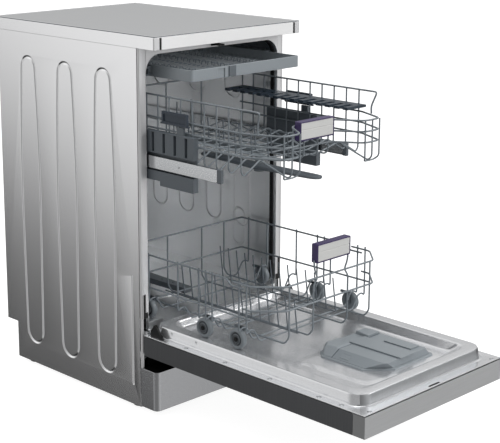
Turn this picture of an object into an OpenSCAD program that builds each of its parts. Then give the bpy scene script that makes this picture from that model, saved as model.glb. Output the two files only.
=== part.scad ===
// Freestanding slimline dishwasher, shown open: door down, top tray and both racks pulled out.
// X runs across the front, Y from the door to the back, Z up from the floor. Millimetres.

/* [Cabinet] */
// Width over the side panels
cabinet_w = 448; // [440:1:460]
// Height from the floor to the top of the worktop
cabinet_h = 850; // [845:1:870]
// Depth of the worktop
worktop_d = 577; // [573:1:590]
// Thickness of the worktop edge
worktop_t = 29; // [26:1:30]
// Thickness of the painted side panels
panel_t = 0.8; // [0.7:0.1:1]
// Height of the kick plate's top edge
plinth_top = 105; // [95:1:110]

/* [Tub] */
// Gap between a side panel's face and the inside of the tub
tub_side = 20; // [19.5:0.5:21]
// Drop from the top of the worktop to the tub's ceiling
tub_drop = 45; // [42:1:48]
// Wall of the tub
tub_wall = 1; // [0.8:0.1:1.2]
// Height of the ledges and door rim that the wheels run on
track_z = 209; // [207:0.5:211]

/* [Door] */
// Length of the open door ahead of the worktop
door_reach = 587; // [575:1:595]
// Height of the open door's outer face
door_low = 137; // [132:1:142]
// Height of the open door's inner flange
door_high = 185; // [182:1:186]
// Radius of the hinge pins
hinge_pin_r = 5; // [4:0.5:6]

/* [Racks] */
// Radius of the heavy rack wires
wire_r = 2; // [1.6:0.1:2.2]
// Radius of the light rack wires
thin_r = 1.5; // [1.2:0.1:1.7]
// Outer radius of the rack wheels
wheel_r = 21.7; // [19:0.1:21.8]
// Width of the rack handles
handle_w = 106; // [90:1:112]
// Height of the rack handles
handle_h = 41; // [36:1:44]

/* [Hidden] */
$fn = 48;

// Clearances shared by all pieces
over = 1;
slip = 0.3;
fit = 0.05;
half_w = cabinet_w / 2;
// The whole open machine is centred on the origin along Y
front_y = (door_reach - worktop_d) / 2;
under_z = cabinet_h - worktop_t;
tub_half = half_w - tub_side;
tub_top = cabinet_h - tub_drop;
// Places along Y, measured back from the worktop's front edge
nose_overhang = 58;
rear_overhang = 19;
rear_step = 41;
panel_front = front_y + nose_overhang;
panel_back = front_y + worktop_d - rear_overhang;
panel_step_y = panel_back - rear_step;
panel_step_z = 102;
panel_low = 12;
flange_lead = 7;
flange_y = panel_front - flange_lead;
flange_t = 1.5;
tub_back_gap = 10;
tub_back = panel_back - tub_back_gap;
tub_corner_r = 38;
floor_z = 190;
ledge_w = 42;
slot_rise = 66;
slot_top = track_z + slot_rise;
// Ends of both racks, and how far they slide in
rack_reach = 303;
rack_hold = 152;
rack_clear = 20;
rack_front = front_y - rack_reach;
rack_rear = front_y + rack_hold;
rack_travel = tub_back - rack_rear - rack_clear;
// Outline of the upper rack, which the rails and the water pipe follow
ur_side = 20;
ur_half = tub_half - ur_side;
ur_drop = 86;
ur_top = tub_top - ur_drop;
ur_depth = 138;
ur_floor = ur_top - ur_depth;
lr_rise = 150;
lr_top = track_z + lr_rise;

// Boxes from one corner to the other, and extrusions along X and Y
module block(lo, hi) { translate(lo) cube(hi - lo); }
module along_y(y0, y1) { translate([0, y1, 0]) rotate([90, 0, 0]) linear_extrude(y1 - y0) children(); }
module along_x(x0, x1) { translate([x0, 0, 0]) rotate([90, 0, 90]) linear_extrude(x1 - x0) children(); }
module both() { children(); mirror([1, 0, 0]) children(); }
// A rectangle with round corners, from exact arcs
module round_rect(lo, hi, r) {
    translate([lo[0] + r, lo[1]]) square([hi[0] - lo[0] - 2 * r, hi[1] - lo[1]]);
    translate([lo[0], lo[1] + r]) square([hi[0] - lo[0], hi[1] - lo[1] - 2 * r]);
    for (x = [lo[0] + r, hi[0] - r], y = [lo[1] + r, hi[1] - r]) translate([x, y]) circle(r);
}

// A wire bent along a list of points: one closed tube of six sides.
// The reference direction must not lie along any stretch of the wire.
wire_sides = 6;
function unit(v) = v / norm(v);
function tangent(p, i) =
    i == 0 ? unit(p[1] - p[0]) :
    i == len(p) - 1 ? unit(p[i] - p[i - 1]) :
    unit(unit(p[i] - p[i - 1]) + unit(p[i + 1] - p[i]));
function mitre(p, i) = i == 0 || i == len(p) - 1 ? 1 :
    1 / max(0.5, unit(p[i] - p[i - 1]) * tangent(p, i));
function ring(p, i, r, ref) =
    let (t = tangent(p, i), n = unit(cross(t, ref)), b = unit(cross(t, n)))
    [for (k = [0 : wire_sides - 1]) let (a = 360 * (k + 0.5) / wire_sides)
        p[i] + r * (cos(a) * mitre(p, i) * n + sin(a) * b)];
module wire(p, r, ref) {
    s = wire_sides;
    m = len(p);
    polyhedron(
        points = [for (i = [0 : m - 1]) each ring(p, i, r, ref)],
        faces = concat(
            [[for (k = [0 : s - 1]) k]],
            [for (i = [0 : m - 2], k = [0 : s - 1])
                [i * s + k, (i + 1) * s + k, (i + 1) * s + (k + 1) % s, i * s + (k + 1) % s]],
            [[for (k = [s - 1 : -1 : 0]) (m - 1) * s + k]]));
}

// Worktop: laminated board in a plastic frame, with a bright strip along the front edge
frame_rim = 3;
frame_lip = 5;
trim_t = 3;
trim_gap = 5;
board_inset = 0.4;
frame_drop = 3;
module worktop_frame() {
    color("whitesmoke") difference() {
        block([-half_w, front_y, under_z], [half_w, front_y + worktop_d, cabinet_h]);
        block([-half_w + frame_rim, front_y + frame_rim, under_z + frame_lip],
            [half_w - frame_rim, front_y + worktop_d - frame_rim, cabinet_h + over]);
        block([-half_w + 3 * frame_rim, front_y + 3 * frame_rim, under_z - over],
            [half_w - 3 * frame_rim, front_y + worktop_d - 3 * frame_rim, cabinet_h]);
        block([-half_w - over, front_y - over, under_z - over],
            [half_w + over, front_y + trim_t, cabinet_h - frame_drop]);
    }
}
module worktop_board() {
    color("gainsboro")
        block([-half_w + frame_rim + board_inset, front_y + frame_rim + board_inset, under_z + frame_lip],
            [half_w - frame_rim - board_inset, front_y + worktop_d - frame_rim - board_inset,
                cabinet_h - board_inset]);
}
module worktop_trim() {
    color("white") block([-half_w + trim_gap, front_y, under_z + board_inset],
        [half_w - trim_gap, front_y + trim_t, cabinet_h - frame_drop]);
}

// Side panels: thin painted steel with three pressed loops, and a small rib low at the front
rib_depth = 2.2;
rib_groove = 5;
rib_low = 66;
rib_drop = 56;
rib_high = under_z - rib_drop;
rib_centre_shares = [0.772, 0.498, 0.228];
rib_half = 35;
rib_waist = 30;
rib_neck = 25;
rib_steps = 10;
return_w = 16;
rear_return_w = 12;
small_rib_in = 24;
small_rib_y = panel_front + small_rib_in;
small_rib_half = 4;
small_rib_low = 58;
small_rib_high = 316;
// Half-width of a loop at a share of its height: full above the foot, narrowing into the neck
function loop_half(s, g) = g + (s < 0.5 ? rib_waist + (rib_half - rib_waist) * 2 * s
    : rib_half - (rib_half - rib_neck) * pow((s - 0.5) * 2, 2));
function loop_side(g) = [for (i = [0 : rib_steps]) let (s = i / rib_steps)
    [loop_half(s, g), rib_low + rib_waist + (rib_high - rib_low - rib_waist - rib_neck) * s]];
function loop_cap(r, z, a0, a1) = [for (i = [1 : rib_steps - 1]) let (a = a0 + (a1 - a0) * i / rib_steps)
    [r * cos(a), z + r * sin(a)]];
function loop_outline(g) = concat(
    loop_side(g),
    loop_cap(loop_half(1, g), rib_high - rib_neck, 0, 180),
    [for (i = [rib_steps : -1 : 0]) [-loop_side(g)[i][0], loop_side(g)[i][1]]],
    loop_cap(loop_half(0, g), rib_low + rib_waist, 180, 360));
module loop_ring(g) {
    difference() {
        polygon(loop_outline(g));
        polygon(loop_outline(-g));
    }
}
module loops(g) {
    for (s = rib_centre_shares) translate([panel_front + (panel_back - panel_front) * s, 0]) loop_ring(g);
}
module small_rib(g) {
    round_rect([small_rib_y - small_rib_half - g, small_rib_low - g],
        [small_rib_y + small_rib_half + g, small_rib_high + g], small_rib_half + g - panel_t / 2);
}
module panel_outline() {
    polygon([[panel_front, panel_low], [panel_step_y, panel_low], [panel_step_y, panel_step_z],
        [panel_back, panel_step_z], [panel_back, under_z], [panel_front, under_z]]);
}
// The left panel, whose outer face looks to -X
module side_panel() {
    difference() {
        union() {
            along_x(-half_w, -half_w + panel_t) panel_outline();
            along_x(-half_w, -half_w + rib_depth + panel_t) loops(rib_groove / 2 + panel_t);
            along_x(-half_w, -half_w + rib_depth + panel_t) small_rib(panel_t);
            block([-half_w, panel_front, slot_top], [-half_w + return_w, panel_front + panel_t, under_z]);
            block([-half_w, panel_back - panel_t, panel_step_z],
                [-half_w + rear_return_w, panel_back, under_z]);
        }
        along_x(-half_w - over, -half_w + rib_depth) loops(rib_groove / 2);
        along_x(-half_w - over, -half_w + rib_depth) small_rib(0);
    }
}
module side_panel_left() { color("lightgray") side_panel(); }
module side_panel_right() { color("lightgray") mirror([1, 0, 0]) side_panel(); }

// Back panel: galvanised sheet with openings for the inlet and the drain
back_edge = 4;
back_half = half_w - back_edge;
port_in = 74;
inlet_x = half_w - port_in;
inlet_z = 60;
port_r = 16;
drain_x = -inlet_x;
module back_panel() {
    color("silver") difference() {
        block([-back_half, panel_back - 2 * panel_t, plinth_top + 2 * over],
            [back_half, panel_back - panel_t, under_z]);
        for (z = [0.3, 0.5, 0.7]) along_y(panel_back - 3 * panel_t, panel_back)
            round_rect([-tub_half * 0.7, under_z * z], [tub_half * 0.7, under_z * z + port_r], port_r / 3);
    }
}

// Base: black tray that carries the pumps, with a wall behind the kick plate up to the door
base_w = half_w - rib_depth - panel_t;
base_low = 10;
base_t = 3;
base_front = panel_front + 2;
base_back = panel_step_y;
base_top = 98;
kick_top = 180;
kick_in = 24;
kick_half = half_w - kick_in;
foot_in = 34;
foot_x = half_w - foot_in;
front_foot_in = 37;
front_foot_y = panel_front + front_foot_in;
rear_foot_in = 30;
rear_foot_y = panel_step_y - rear_foot_in;
foot_pad_r = 18;
foot_pad_h = 8;
foot_stem_r = 5;
foot_boss_r = 11;
foot_boss_h = 34;
module base_tray() {
    color("dimgray") difference() {
        union() {
            difference() {
                block([-base_w, base_front, base_low], [base_w, base_back, base_top]);
                block([-base_w + base_t, base_front + base_t, base_low + base_t],
                    [base_w - base_t, base_back - base_t, base_top + over]);
            }
            block([-kick_half, base_front, base_low], [kick_half, base_front + base_t, kick_top]);
            both() block([-base_w + over, spring_end, base_top - 3 * base_t],
                [-spring_x + spring_r, spring_end + 2 * base_t, tail_z + spring_r]);
            for (x = [-foot_x, foot_x], y = [front_foot_y, rear_foot_y])
                translate([x, y, base_low]) cylinder(r = foot_boss_r, h = foot_boss_h);
        }
        for (x = [-foot_x, foot_x], y = [front_foot_y, rear_foot_y])
            translate([x, y, base_low - over]) cylinder(r = foot_stem_r + fit, h = foot_boss_h + 2 * over);
        translate([inlet_x, base_back + over, inlet_z]) rotate([90, 0, 0])
            cylinder(r = port_r, h = base_t + 2 * over);
        translate([drain_x, base_back + over, inlet_z]) rotate([90, 0, 0])
            cylinder(r = port_r, h = base_t + 2 * over);
    }
}
module levelling_feet() {
    color("black") for (x = [-foot_x, foot_x], y = [front_foot_y, rear_foot_y]) translate([x, y, 0]) {
        cylinder(r = foot_pad_r, h = foot_pad_h);
        cylinder(r = foot_stem_r, h = base_low + foot_boss_h + base_t);
    }
}

// Kick plate: a U of painted steel with rounded front corners
plinth_low = 14;
plinth_back = 5;
plinth_front = front_y + plinth_back;
plinth_r = 12;
plinth_t = 1.5;
plinth_w = half_w - 1;
module plinth_shape(g) {
    translate([0, plinth_front + g]) {
        translate([-plinth_w + g, plinth_r - g])
            square([2 * (plinth_w - g), panel_front - plinth_front - plinth_r]);
        translate([-plinth_w + plinth_r, 0]) square([2 * (plinth_w - plinth_r), plinth_r]);
        for (x = [-plinth_w + plinth_r, plinth_w - plinth_r]) translate([x, plinth_r - g]) circle(plinth_r - g);
    }
}
module plinth() {
    color("darkgray") difference() {
        translate([0, 0, plinth_low]) linear_extrude(plinth_top - plinth_low) plinth_shape(0);
        translate([0, 0, plinth_low - over]) linear_extrude(plinth_top - plinth_low - plinth_t + over)
            plinth_shape(plinth_t);
        block([-half_w, panel_front - 2 * slip, plinth_low - over],
            [half_w, panel_front + worktop_d, cabinet_h]);
    }
}

// Tub: stainless liner with a round-cornered opening, side ledges and a sump hole
sump_y = (flange_y + tub_back) / 2;
sump_r = 100;
sill_low = 187;
flange_w = half_w - 2;
module tub_opening(g) {
    round_rect([-tub_half + g, track_z], [tub_half - g, tub_top - g], tub_corner_r - g);
}
module tub_cavity(g) {
    tub_opening(-g);
    translate([-tub_half - g, track_z - g]) square([2 * (tub_half + g), tub_corner_r + 2 * g]);
    translate([-tub_half + ledge_w - g, floor_z - g]) square([2 * (tub_half - ledge_w + g), tub_corner_r]);
}
module tub() {
    color("silver") difference() {
        union() {
            along_y(flange_y, tub_back + tub_wall) tub_cavity(tub_wall);
            block([-flange_w, flange_y, slot_top], [flange_w, flange_y + flange_t, under_z - slip]);
            both() block([-flange_w, flange_y, slot_top], [-flange_w + flange_t, panel_front, under_z - slip]);
            block([-tub_half, flange_y, sill_low], [tub_half, flange_y + flange_t, track_z]);
        }
        along_y(flange_y - over, tub_back) tub_cavity(0);
        translate([0, sump_y, floor_z - 2 * tub_wall]) cylinder(r = sump_r, h = 4 * tub_wall);
        translate([salt_x, salt_y, floor_z - 2 * tub_wall]) cylinder(r = salt_bore_r, h = 4 * tub_wall);
    }
}
seal_t = 2;
seal_y = flange_y + 9;
seal_w = 10;
module door_seal() {
    color("black") {
        along_y(seal_y, seal_y + seal_w) difference() {
            tub_opening(slip);
            tub_opening(slip + seal_t);
            translate([-tub_half - over, 0]) square([2 * tub_half + 2 * over, track_z + seal_w]);
        }
        both() block([-flange_w, flange_y, track_z + seal_w],
            [-tub_half - tub_wall - slip, panel_front - over, slot_top - slip]);
    }
}

// Sump under the tub floor, with the filters in its mouth
sump_low = 112;
sump_cup_r = 37;
sump_t = 3;
filter_x = -56;
plate_t = 1.5;
cup_r = 32;
cup_low = 140;
cup_rim = 2.5;
cup_grip = 10;
column_r = 16;
module spigot(y, low, high) {
    translate([0, y, low]) cylinder(r = arm_spigot_r, h = high - low);
}
module sump() {
    color("dimgray") {
        difference() {
            union() {
                translate([0, sump_y, floor_z - tub_wall - sump_t])
                    cylinder(r = sump_r + 2 * sump_t, h = sump_t);
                translate([filter_x, sump_y, sump_low])
                    cylinder(r = sump_cup_r + sump_t, h = floor_z - tub_wall - sump_t - sump_low);
            }
            translate([filter_x, sump_y, sump_low + sump_t]) cylinder(r = sump_cup_r, h = floor_z);
        }
        translate([0, sump_y, floor_z - tub_wall - sump_t])
            cylinder(r = column_r - slip, h = arm_low - slip - floor_z + tub_wall + sump_t);
        spigot(sump_y, floor_z, arm_low + arm_t + slip + hub_cap);
        translate([0, sump_y, arm_low + arm_t + slip]) cylinder(r = arm_spigot_r + hub_cap, h = hub_cap);
    }
}
module filter_plate() {
    color("silver") difference() {
        translate([0, sump_y, floor_z - tub_wall]) cylinder(r = sump_r - slip, h = plate_t + tub_wall);
        translate([filter_x, sump_y, floor_z - 2 * tub_wall])
            cylinder(r = cup_r + slip, h = plate_t + 4 * tub_wall);
        translate([0, sump_y, floor_z - 2 * tub_wall]) cylinder(r = column_r, h = plate_t + 4 * tub_wall);
    }
}
module filter_cup() {
    color("slategray") translate([filter_x, sump_y, 0]) difference() {
        union() {
            translate([0, 0, cup_low]) cylinder(r = cup_r, h = floor_z + plate_t - cup_low);
            translate([0, 0, floor_z + plate_t]) cylinder(r = cup_r + cup_rim, h = cup_rim);
            block([-cup_r * 0.8, -cup_rim, floor_z], [cup_r * 0.8, cup_rim, floor_z + plate_t + cup_grip]);
        }
        translate([0, 0, cup_low - over]) cylinder(r = cup_r - sump_t, h = floor_z - cup_low - sump_t);
    }
}
salt_in = 94;
salt_x = -tub_half + salt_in;
salt_back = 140.5;
salt_y = sump_y + salt_back;
salt_r = 28;
salt_h = 12;
salt_bore_r = 26;
module water_softener() {
    color("gainsboro") difference() {
        union() {
            block([-base_w + 4 * base_t, salt_y - 2 * salt_r, base_top + over],
                [filter_x, salt_y + 2 * salt_r, floor_z - tub_wall - sump_t]);
            translate([salt_x, salt_y, floor_z - tub_wall - sump_t]) cylinder(r = salt_r, h = sump_t);
        }
        translate([salt_x, salt_y, base_top + base_t])
            cylinder(r = salt_bore_r, h = floor_z);
    }
}
module salt_cap() {
    color("slategray") translate([salt_x, salt_y, floor_z + fit]) {
        cylinder(r = salt_r, h = salt_h);
        translate([-salt_r * 0.8, -over * 3, 0]) cube([salt_r * 1.6, over * 6, salt_h + cup_grip / 2]);
    }
}

// Spray arms: flat hollow blades on a hub
arm_low = 211;
arm_t = 13;
arm_hub_r = 16;
arm_w = 34;
arm_tip_w = 22;
lower_arm_reach = 158;
upper_arm_reach = 178;
ceiling_arm_reach = 80;
nozzle_r = 2.5;
upper_hub_reach = 90;
upper_hub_y = front_y - upper_hub_reach;
upper_arm_drop = 33;
upper_arm_low = ur_floor - upper_arm_drop;
module spray_arm(reach, y, z, r) {
    translate([0, y, z]) difference() {
        union() {
            linear_extrude(arm_t) polygon([[-arm_w / 2, 0], [-arm_tip_w / 2, -reach], [arm_tip_w / 2, -reach],
                [arm_w / 2, 0], [arm_tip_w / 2, reach], [-arm_tip_w / 2, reach]]);
            cylinder(r = r + 2 * sump_t, h = arm_t);
        }
        translate([0, 0, -over]) cylinder(r = r + fit, h = arm_t + 2 * over);
        for (s = [-0.9, -0.66, -0.42, 0.42, 0.66, 0.9])
            translate([0, reach * s, arm_t / 2]) cylinder(r = nozzle_r, h = arm_t);
    }
}
arm_spigot_r = 9;
module lower_spray_arm() { color("gray") spray_arm(lower_arm_reach, sump_y, arm_low, arm_spigot_r); }
module upper_spray_arm() { color("gray") spray_arm(upper_arm_reach, upper_hub_y, upper_arm_low, arm_spigot_r); }
ceiling_low = tub_top - arm_t - 5;
module ceiling_spray_arm() {
    color("gray") spray_arm(ceiling_arm_reach, sump_y, ceiling_low, arm_spigot_r);
}

// Feed pipe up the tub's back wall, with a mouth for the upper rack's pipe and a head at the ceiling
pipe_r = 7;
pipe_y = tub_back - pipe_r - slip;
dock_r = 11;
dock_front = rack_rear + rack_travel + over;
dock_drop = 53;
dock_rise = 23;
dock_low = ur_floor - dock_drop;
dock_high = ur_floor + dock_rise;
ceiling_pipe_r = 2.4;
head_flange = 3;
module feed_pipe() {
    color("gainsboro") {
        translate([0, pipe_y, floor_z]) cylinder(r = pipe_r, h = tub_top - floor_z);
        block([-dock_r, dock_front, dock_low], [dock_r, pipe_y, dock_high]);
        block([-arm_spigot_r, sump_y, tub_top - 2 * ceiling_pipe_r], [arm_spigot_r, pipe_y, tub_top]);
        translate([0, sump_y, ceiling_low - head_flange]) {
            cylinder(r = arm_spigot_r, h = tub_top - ceiling_low + head_flange);
            cylinder(r = arm_spigot_r + head_flange, h = head_flange - slip);
        }
    }
}

// Pumps and valve in the base
pump_lead = 120;
pump_y = sump_y - pump_lead;
pump_r = 42;
pump_len = 95;
pump_z = base_low + base_t + pump_r + slip;
drain_r = 24;
drain_len = 60;
drain_lag = 100;
drain_y = sump_y + drain_lag;
hose_r = 9;
slim_share = 0.8;
module circulation_pump() {
    color("darkslategray") {
        translate([-pump_len, pump_y, pump_z]) rotate([0, 90, 0]) cylinder(r = pump_r, h = pump_len);
        translate([0, pump_y, pump_z]) rotate([0, 90, 0]) cylinder(r = pump_r * 0.8, h = pump_len / 3);
        block([filter_x - hose_r, pump_y, pump_z - hose_r], [filter_x + hose_r, sump_y, pump_z + hose_r]);
        translate([filter_x, sump_y, pump_z - hose_r]) cylinder(r = hose_r, h = sump_low - pump_z + hose_r);
        block([-pump_len * 0.8, pump_y - 2 * hose_r, base_low + base_t],
            [-pump_len * 0.2, pump_y + 2 * hose_r, pump_z]);
    }
}
module drain_pump() {
    color("darkslategray") {
        translate([drain_x * 0.5, drain_y, base_low + base_t + drain_r + slip]) rotate([0, 90, 0])
            cylinder(r = drain_r, h = drain_len);
        block([drain_x * 0.5, drain_y - hose_r, base_low + base_t],
            [drain_x * 0.5 + drain_len, drain_y + hose_r, inlet_z * 0.6]);
        translate([drain_x, drain_y, inlet_z]) rotate([-90, 0, 0])
            cylinder(r = hose_r * slim_share, h = panel_back - drain_y - 2 * over);
        translate([drain_x, base_back + 2 * over, inlet_z]) rotate([-90, 0, 0])
            cylinder(r = hose_r, h = panel_back - base_back - 3 * over);
        block([drain_x - hose_r, drain_y - hose_r, base_low + base_t],
            [drain_x * 0.5, drain_y + hose_r, inlet_z]);
    }
}
valve_thread_r = 13.2;
valve_len = 34;
module inlet_valve() {
    color("gainsboro") {
        block([inlet_x - 2 * port_r, base_back - base_t - 2 * valve_len, base_low + base_t],
            [inlet_x + port_r, base_back - base_t, inlet_z + 2 * port_r * 0.9]);
        translate([inlet_x, base_back - base_t - over, inlet_z]) rotate([-90, 0, 0])
            cylinder(r = valve_thread_r, h = valve_len);
    }
}

// Hinges: brackets with pins on the cabinet, arms on the door, tension springs behind
pivot_lead = 11;
pivot_y = panel_front - pivot_lead;
pivot_z = door_high - 1;
bracket_in = 10;
bracket_x = half_w - bracket_in;
bracket_t = 3;
bracket_rear_in = 52;
bracket_back = panel_front + bracket_rear_in;
bracket_lead = 4;
foot_lead = 32;
pin_len = 11;
arm_in = 17;
arm_x = half_w - arm_in;
arm_plate_t = 4;
arm_boss_r = 11;
arm_bar = 8;
arm_reach = 120;
tail_lag = 17;
tail_y = pivot_y + tail_lag;
tail_drop = 56;
tail_z = pivot_z - tail_drop;
tail_half = 7;
spring_r = 6;
spring_len = 150;
spring_x = arm_x;
spring_wire = 1.6;
spring_start = tail_y + tail_half + slip;
spring_end = spring_start + spring_len + 2 * spring_r;
module hinge_brackets() {
    color("silver") both() {
        block([-bracket_x - bracket_t, panel_front + bracket_lead, base_top],
            [-bracket_x, bracket_back, pivot_z + arm_boss_r]);
        block([-bracket_x - bracket_t, pivot_y - 1.5 * hinge_pin_r, pivot_z - 1.5 * hinge_pin_r],
            [-bracket_x, bracket_back, pivot_z + 1.5 * hinge_pin_r]);
        translate([-bracket_x - bracket_t, pivot_y, pivot_z]) rotate([0, 90, 0])
            cylinder(r = hinge_pin_r, h = bracket_t + pin_len);
        block([-base_w, panel_front + foot_lead, base_top],
            [-spring_x + spring_r, bracket_back, base_top + bracket_t]);
    }
}
module hinge_springs() {
    color("gray") both() translate([-spring_x, spring_start, tail_z]) rotate([-90, 0, 0]) {
        translate([0, 0, spring_r]) cylinder(r = spring_r, h = spring_len);
        cylinder(r = spring_wire, h = spring_len + 2 * spring_r);
    }
}
module hinge_arms() {
    color("silver") both() along_x(-arm_x - arm_plate_t, -arm_x) difference() {
        union() {
            translate([pivot_y - arm_reach, pivot_z - arm_bar]) square([arm_reach, arm_bar]);
            translate([pivot_y, pivot_z]) circle(arm_boss_r);
            polygon([[pivot_y - tail_half, pivot_z], [pivot_y + tail_half, pivot_z],
                [tail_y + tail_half, tail_z], [tail_y - tail_half, tail_z - tail_half]]);
        }
        translate([pivot_y, pivot_z]) circle(hinge_pin_r + fit);
    }
}
cover_edge = 3;
cover_w = 14;
cover_out = half_w - cover_edge;
cover_in = cover_out - cover_w;
cover_front_in = 12;
cover_rear_in = 30;
cover_peak_in = 2;
cover_front = front_y - cover_front_in;
cover_rear = front_y + cover_rear_in;
cover_peak = front_y + cover_peak_in;
cover_h = 29;
module hinge_covers() {
    color("black") both() along_x(-cover_out, -cover_in)
        polygon([[cover_front, door_high], [cover_rear, door_high], [cover_rear, door_high + cover_h * 0.5],
            [cover_peak, door_high + cover_h]]);
}

// Rails: steel channels on the tub walls, and the sliding rails that the racks' carriages ride
rail_mid_drop = 5.5;
rail_mid_z = ur_floor - rail_mid_drop;
rail_h = 35;
rail_t = 2.7;
rail_lead = 12;
rail_front = panel_front + rail_lead;
rail_back = 18;
rail_rear = tub_back - rail_back;
slide_gap = 3;
slide_w = 7.5;
slide_out = tub_half - slide_gap;
slide_in = slide_out - slide_w;
slide_h = 27;
slide_reach = 163;
slide_front = front_y - slide_reach;
slide_len = 430;
slide_lip = 1.2;
end_cap_len = 12;
module upper_fixed_rails() {
    color("silver") both() {
        block([-tub_half, rail_front, rail_mid_z - rail_h / 2],
            [-tub_half + rail_t, rail_rear, rail_mid_z + rail_h / 2]);
        for (s = [-1, 1]) block([-tub_half + rail_t, rail_front, rail_mid_z + s * (rail_h / 2 - 1) - 1],
            [-slide_in - slide_lip, rail_rear, rail_mid_z + s * (rail_h / 2 - 1) + 1]);
    }
}
module upper_sliding_rails() {
    color("silver") both() difference() {
        block([-slide_out, slide_front, rail_mid_z - slide_h / 2],
            [-slide_in, slide_front + slide_len, rail_mid_z + slide_h / 2]);
        block([-slide_in - slide_lip * 2, slide_front - over, rail_mid_z - slide_h / 2 + 2 * slide_lip],
            [-slide_in + over, slide_front + slide_len + over, rail_mid_z + slide_h / 2 - 2 * slide_lip]);
    }
}
module rail_end_caps() {
    color("gray") both()
        block([-slide_out, slide_front - end_cap_len, rail_mid_z - slide_h / 2 - slide_lip],
            [-slide_in, slide_front, rail_mid_z + slide_h / 2 + slide_lip]);
}

// Cutlery tray: plastic frame with wire floor, hung on two channels
tray_side = 36;
tray_half = tub_half - tray_side;
tray_reach = 52;
tray_front = front_y - tray_reach;
tray_len = 450;
tray_drop = 51;
tray_h = 25;
tray_low = tub_top - tray_drop;
tray_high = tray_low + tray_h;
tray_wall = 4;
tongue = 9;
tongue_h = 8;
tongue_lead = 18;
tongue_front = panel_front + tongue_lead;
tray_mid = (tray_low + tray_high) / 2;
tray_rail_h = 20;
tray_rail_in = 1.4;
notch_l = -90;
notch_r = -68;
notch_t = 2.4;
module tray_rails() {
    color("gray") both() difference() {
        block([-tub_half + tray_rail_in, rail_front, tray_mid - tray_rail_h / 2],
            [-tray_half - 2, rail_rear, tray_mid + tray_rail_h / 2]);
        block([-tray_half - tongue - slip, rail_front - over, tray_mid - tongue_h / 2 - slip],
            [-tray_half, rail_rear + over, tray_mid + tongue_h / 2 + slip]);
        block([-tub_half + tray_wall, rail_front - over, tray_mid - tray_rail_h / 2 + tray_wall],
            [-tray_half - tongue - tray_wall, rail_rear + over, tray_mid + tray_rail_h / 2 - tray_wall]);
    }
}
module top_tray_frame() {
    color("gray") difference() {
        union() {
            translate([0, 0, tray_low]) linear_extrude(tray_high - tray_low)
                round_rect([-tray_half, tray_front], [tray_half, tray_front + tray_len], 2 * tray_wall);
            both() block([-tray_half - tongue, tongue_front, tray_mid - tongue_h / 2],
                [-tray_half, tray_front + tray_len - 2 * tray_wall, tray_mid + tongue_h / 2]);
        }
        block([-tray_half + tray_wall, tray_front + tray_wall, tray_low - over],
            [tray_half - tray_wall, tray_front + tray_len - tray_wall, tray_high + over]);
        block([notch_l, tray_front - over, tray_low - over],
            [notch_r, tray_front + notch_t, tray_high - tray_wall]);
    }
}
tray_wire_z = tray_low + 5;
tray_wire_n = 12;
tray_tine_h = 15;
module top_tray_wires() {
    inner = tray_half - tray_wall;
    y0 = tray_front + tray_wall;
    y1 = tray_front + tray_len - tray_wall;
    color("lightgray") {
        for (i = [1 : tray_wire_n]) let (x = -inner + 2 * inner * i / (tray_wire_n + 1))
            wire([[x, y0, tray_wire_z], [x, y1, tray_wire_z]], thin_r, [1, 0, 0]);
        for (s = [0.12, 0.37, 0.62, 0.87]) let (y = y0 + (y1 - y0) * s)
            wire([[-inner, y, tray_wire_z - thin_r], [inner, y, tray_wire_z - thin_r]], thin_r, [0, 1, 0]);
        for (s = [0.06 : 0.09 : 0.9], i = [3, 6, 10])
            let (y = y0 + (y1 - y0) * s, x = -inner + 2 * inner * i / (tray_wire_n + 1))
                wire([[x, y, tray_wire_z], [x, y + thin_r, tray_wire_z + tray_tine_h]], thin_r, [1, 0, 0]);
    }
}

// Upper rack: wires, carriages on the sliding rails, height levers, handle, cup shelf and spray pipe
ur_first_rail = 48;
ur_rail_pitch = 24;
ur_rails_z = [for (i = [0 : 2]) ur_top - ur_first_rail - i * ur_rail_pitch];
ur_hump = 31;
ur_floor_high = ur_floor + ur_hump;
ur_side_reach = 225;
ur_side_front = front_y - ur_side_reach;
ur_rim_reach = 262;
ur_rim_front = front_y - ur_rim_reach;
ur_nose_in = 34;
ur_nose = ur_half - ur_nose_in;
ur_bend = 12;
ur_bend_y = ur_rim_front + ur_bend;
ur_inner_in = 81;
ur_inner_nose = ur_half - ur_inner_in;
handle_recess = 240;
handle_recess_y = front_y - handle_recess;
corner = 8;
ur_pitch = 36;
ur_cross_n = 10;
ur_loop_in = 80;
carriage_gap = 4;
carriage_w = 14;
carriage_skin = 4.5;
carriage_out = tub_half - carriage_gap;
carriage_in = carriage_out - carriage_w;
carriage_web = carriage_in + carriage_skin;
carriage_reach = 92;
carriage_len = 158;
carriage_front = front_y - carriage_reach;
carriage_rear = carriage_front + carriage_len;
carriage_top_rise = 63;
carriage_up_rise = 15;
carriage_low_drop = 23.5;
carriage_drop = 55;
carriage_top = ur_floor + carriage_top_rise;
carriage_up_z = ur_floor + carriage_up_rise;
carriage_low_z = ur_floor - carriage_low_drop;
carriage_bottom = ur_floor - carriage_drop;
carriage_step_len = 106;
carriage_step_y = carriage_front + carriage_step_len;
carriage_step = 10;
lever_lead = 24;
lever_len = 78;
stem_lead = 34;
stem_len = 20;
lever_front = carriage_front + lever_lead;
lever_rear = lever_front + lever_len;
stem_front = carriage_front + stem_lead;
stem_rear = stem_front + stem_len;
lever_rise = 82;
lever_h = 27;
lever_low = ur_floor + lever_rise;
lever_top = lever_low + lever_h;
lever_gap = 7;
lever_w = 6;
lever_out = tub_half - lever_gap;
lever_in = lever_out - lever_w;
stem_in = lever_in + slip;
lever_pin_r = 2;
lever_pin_end = 5;
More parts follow.
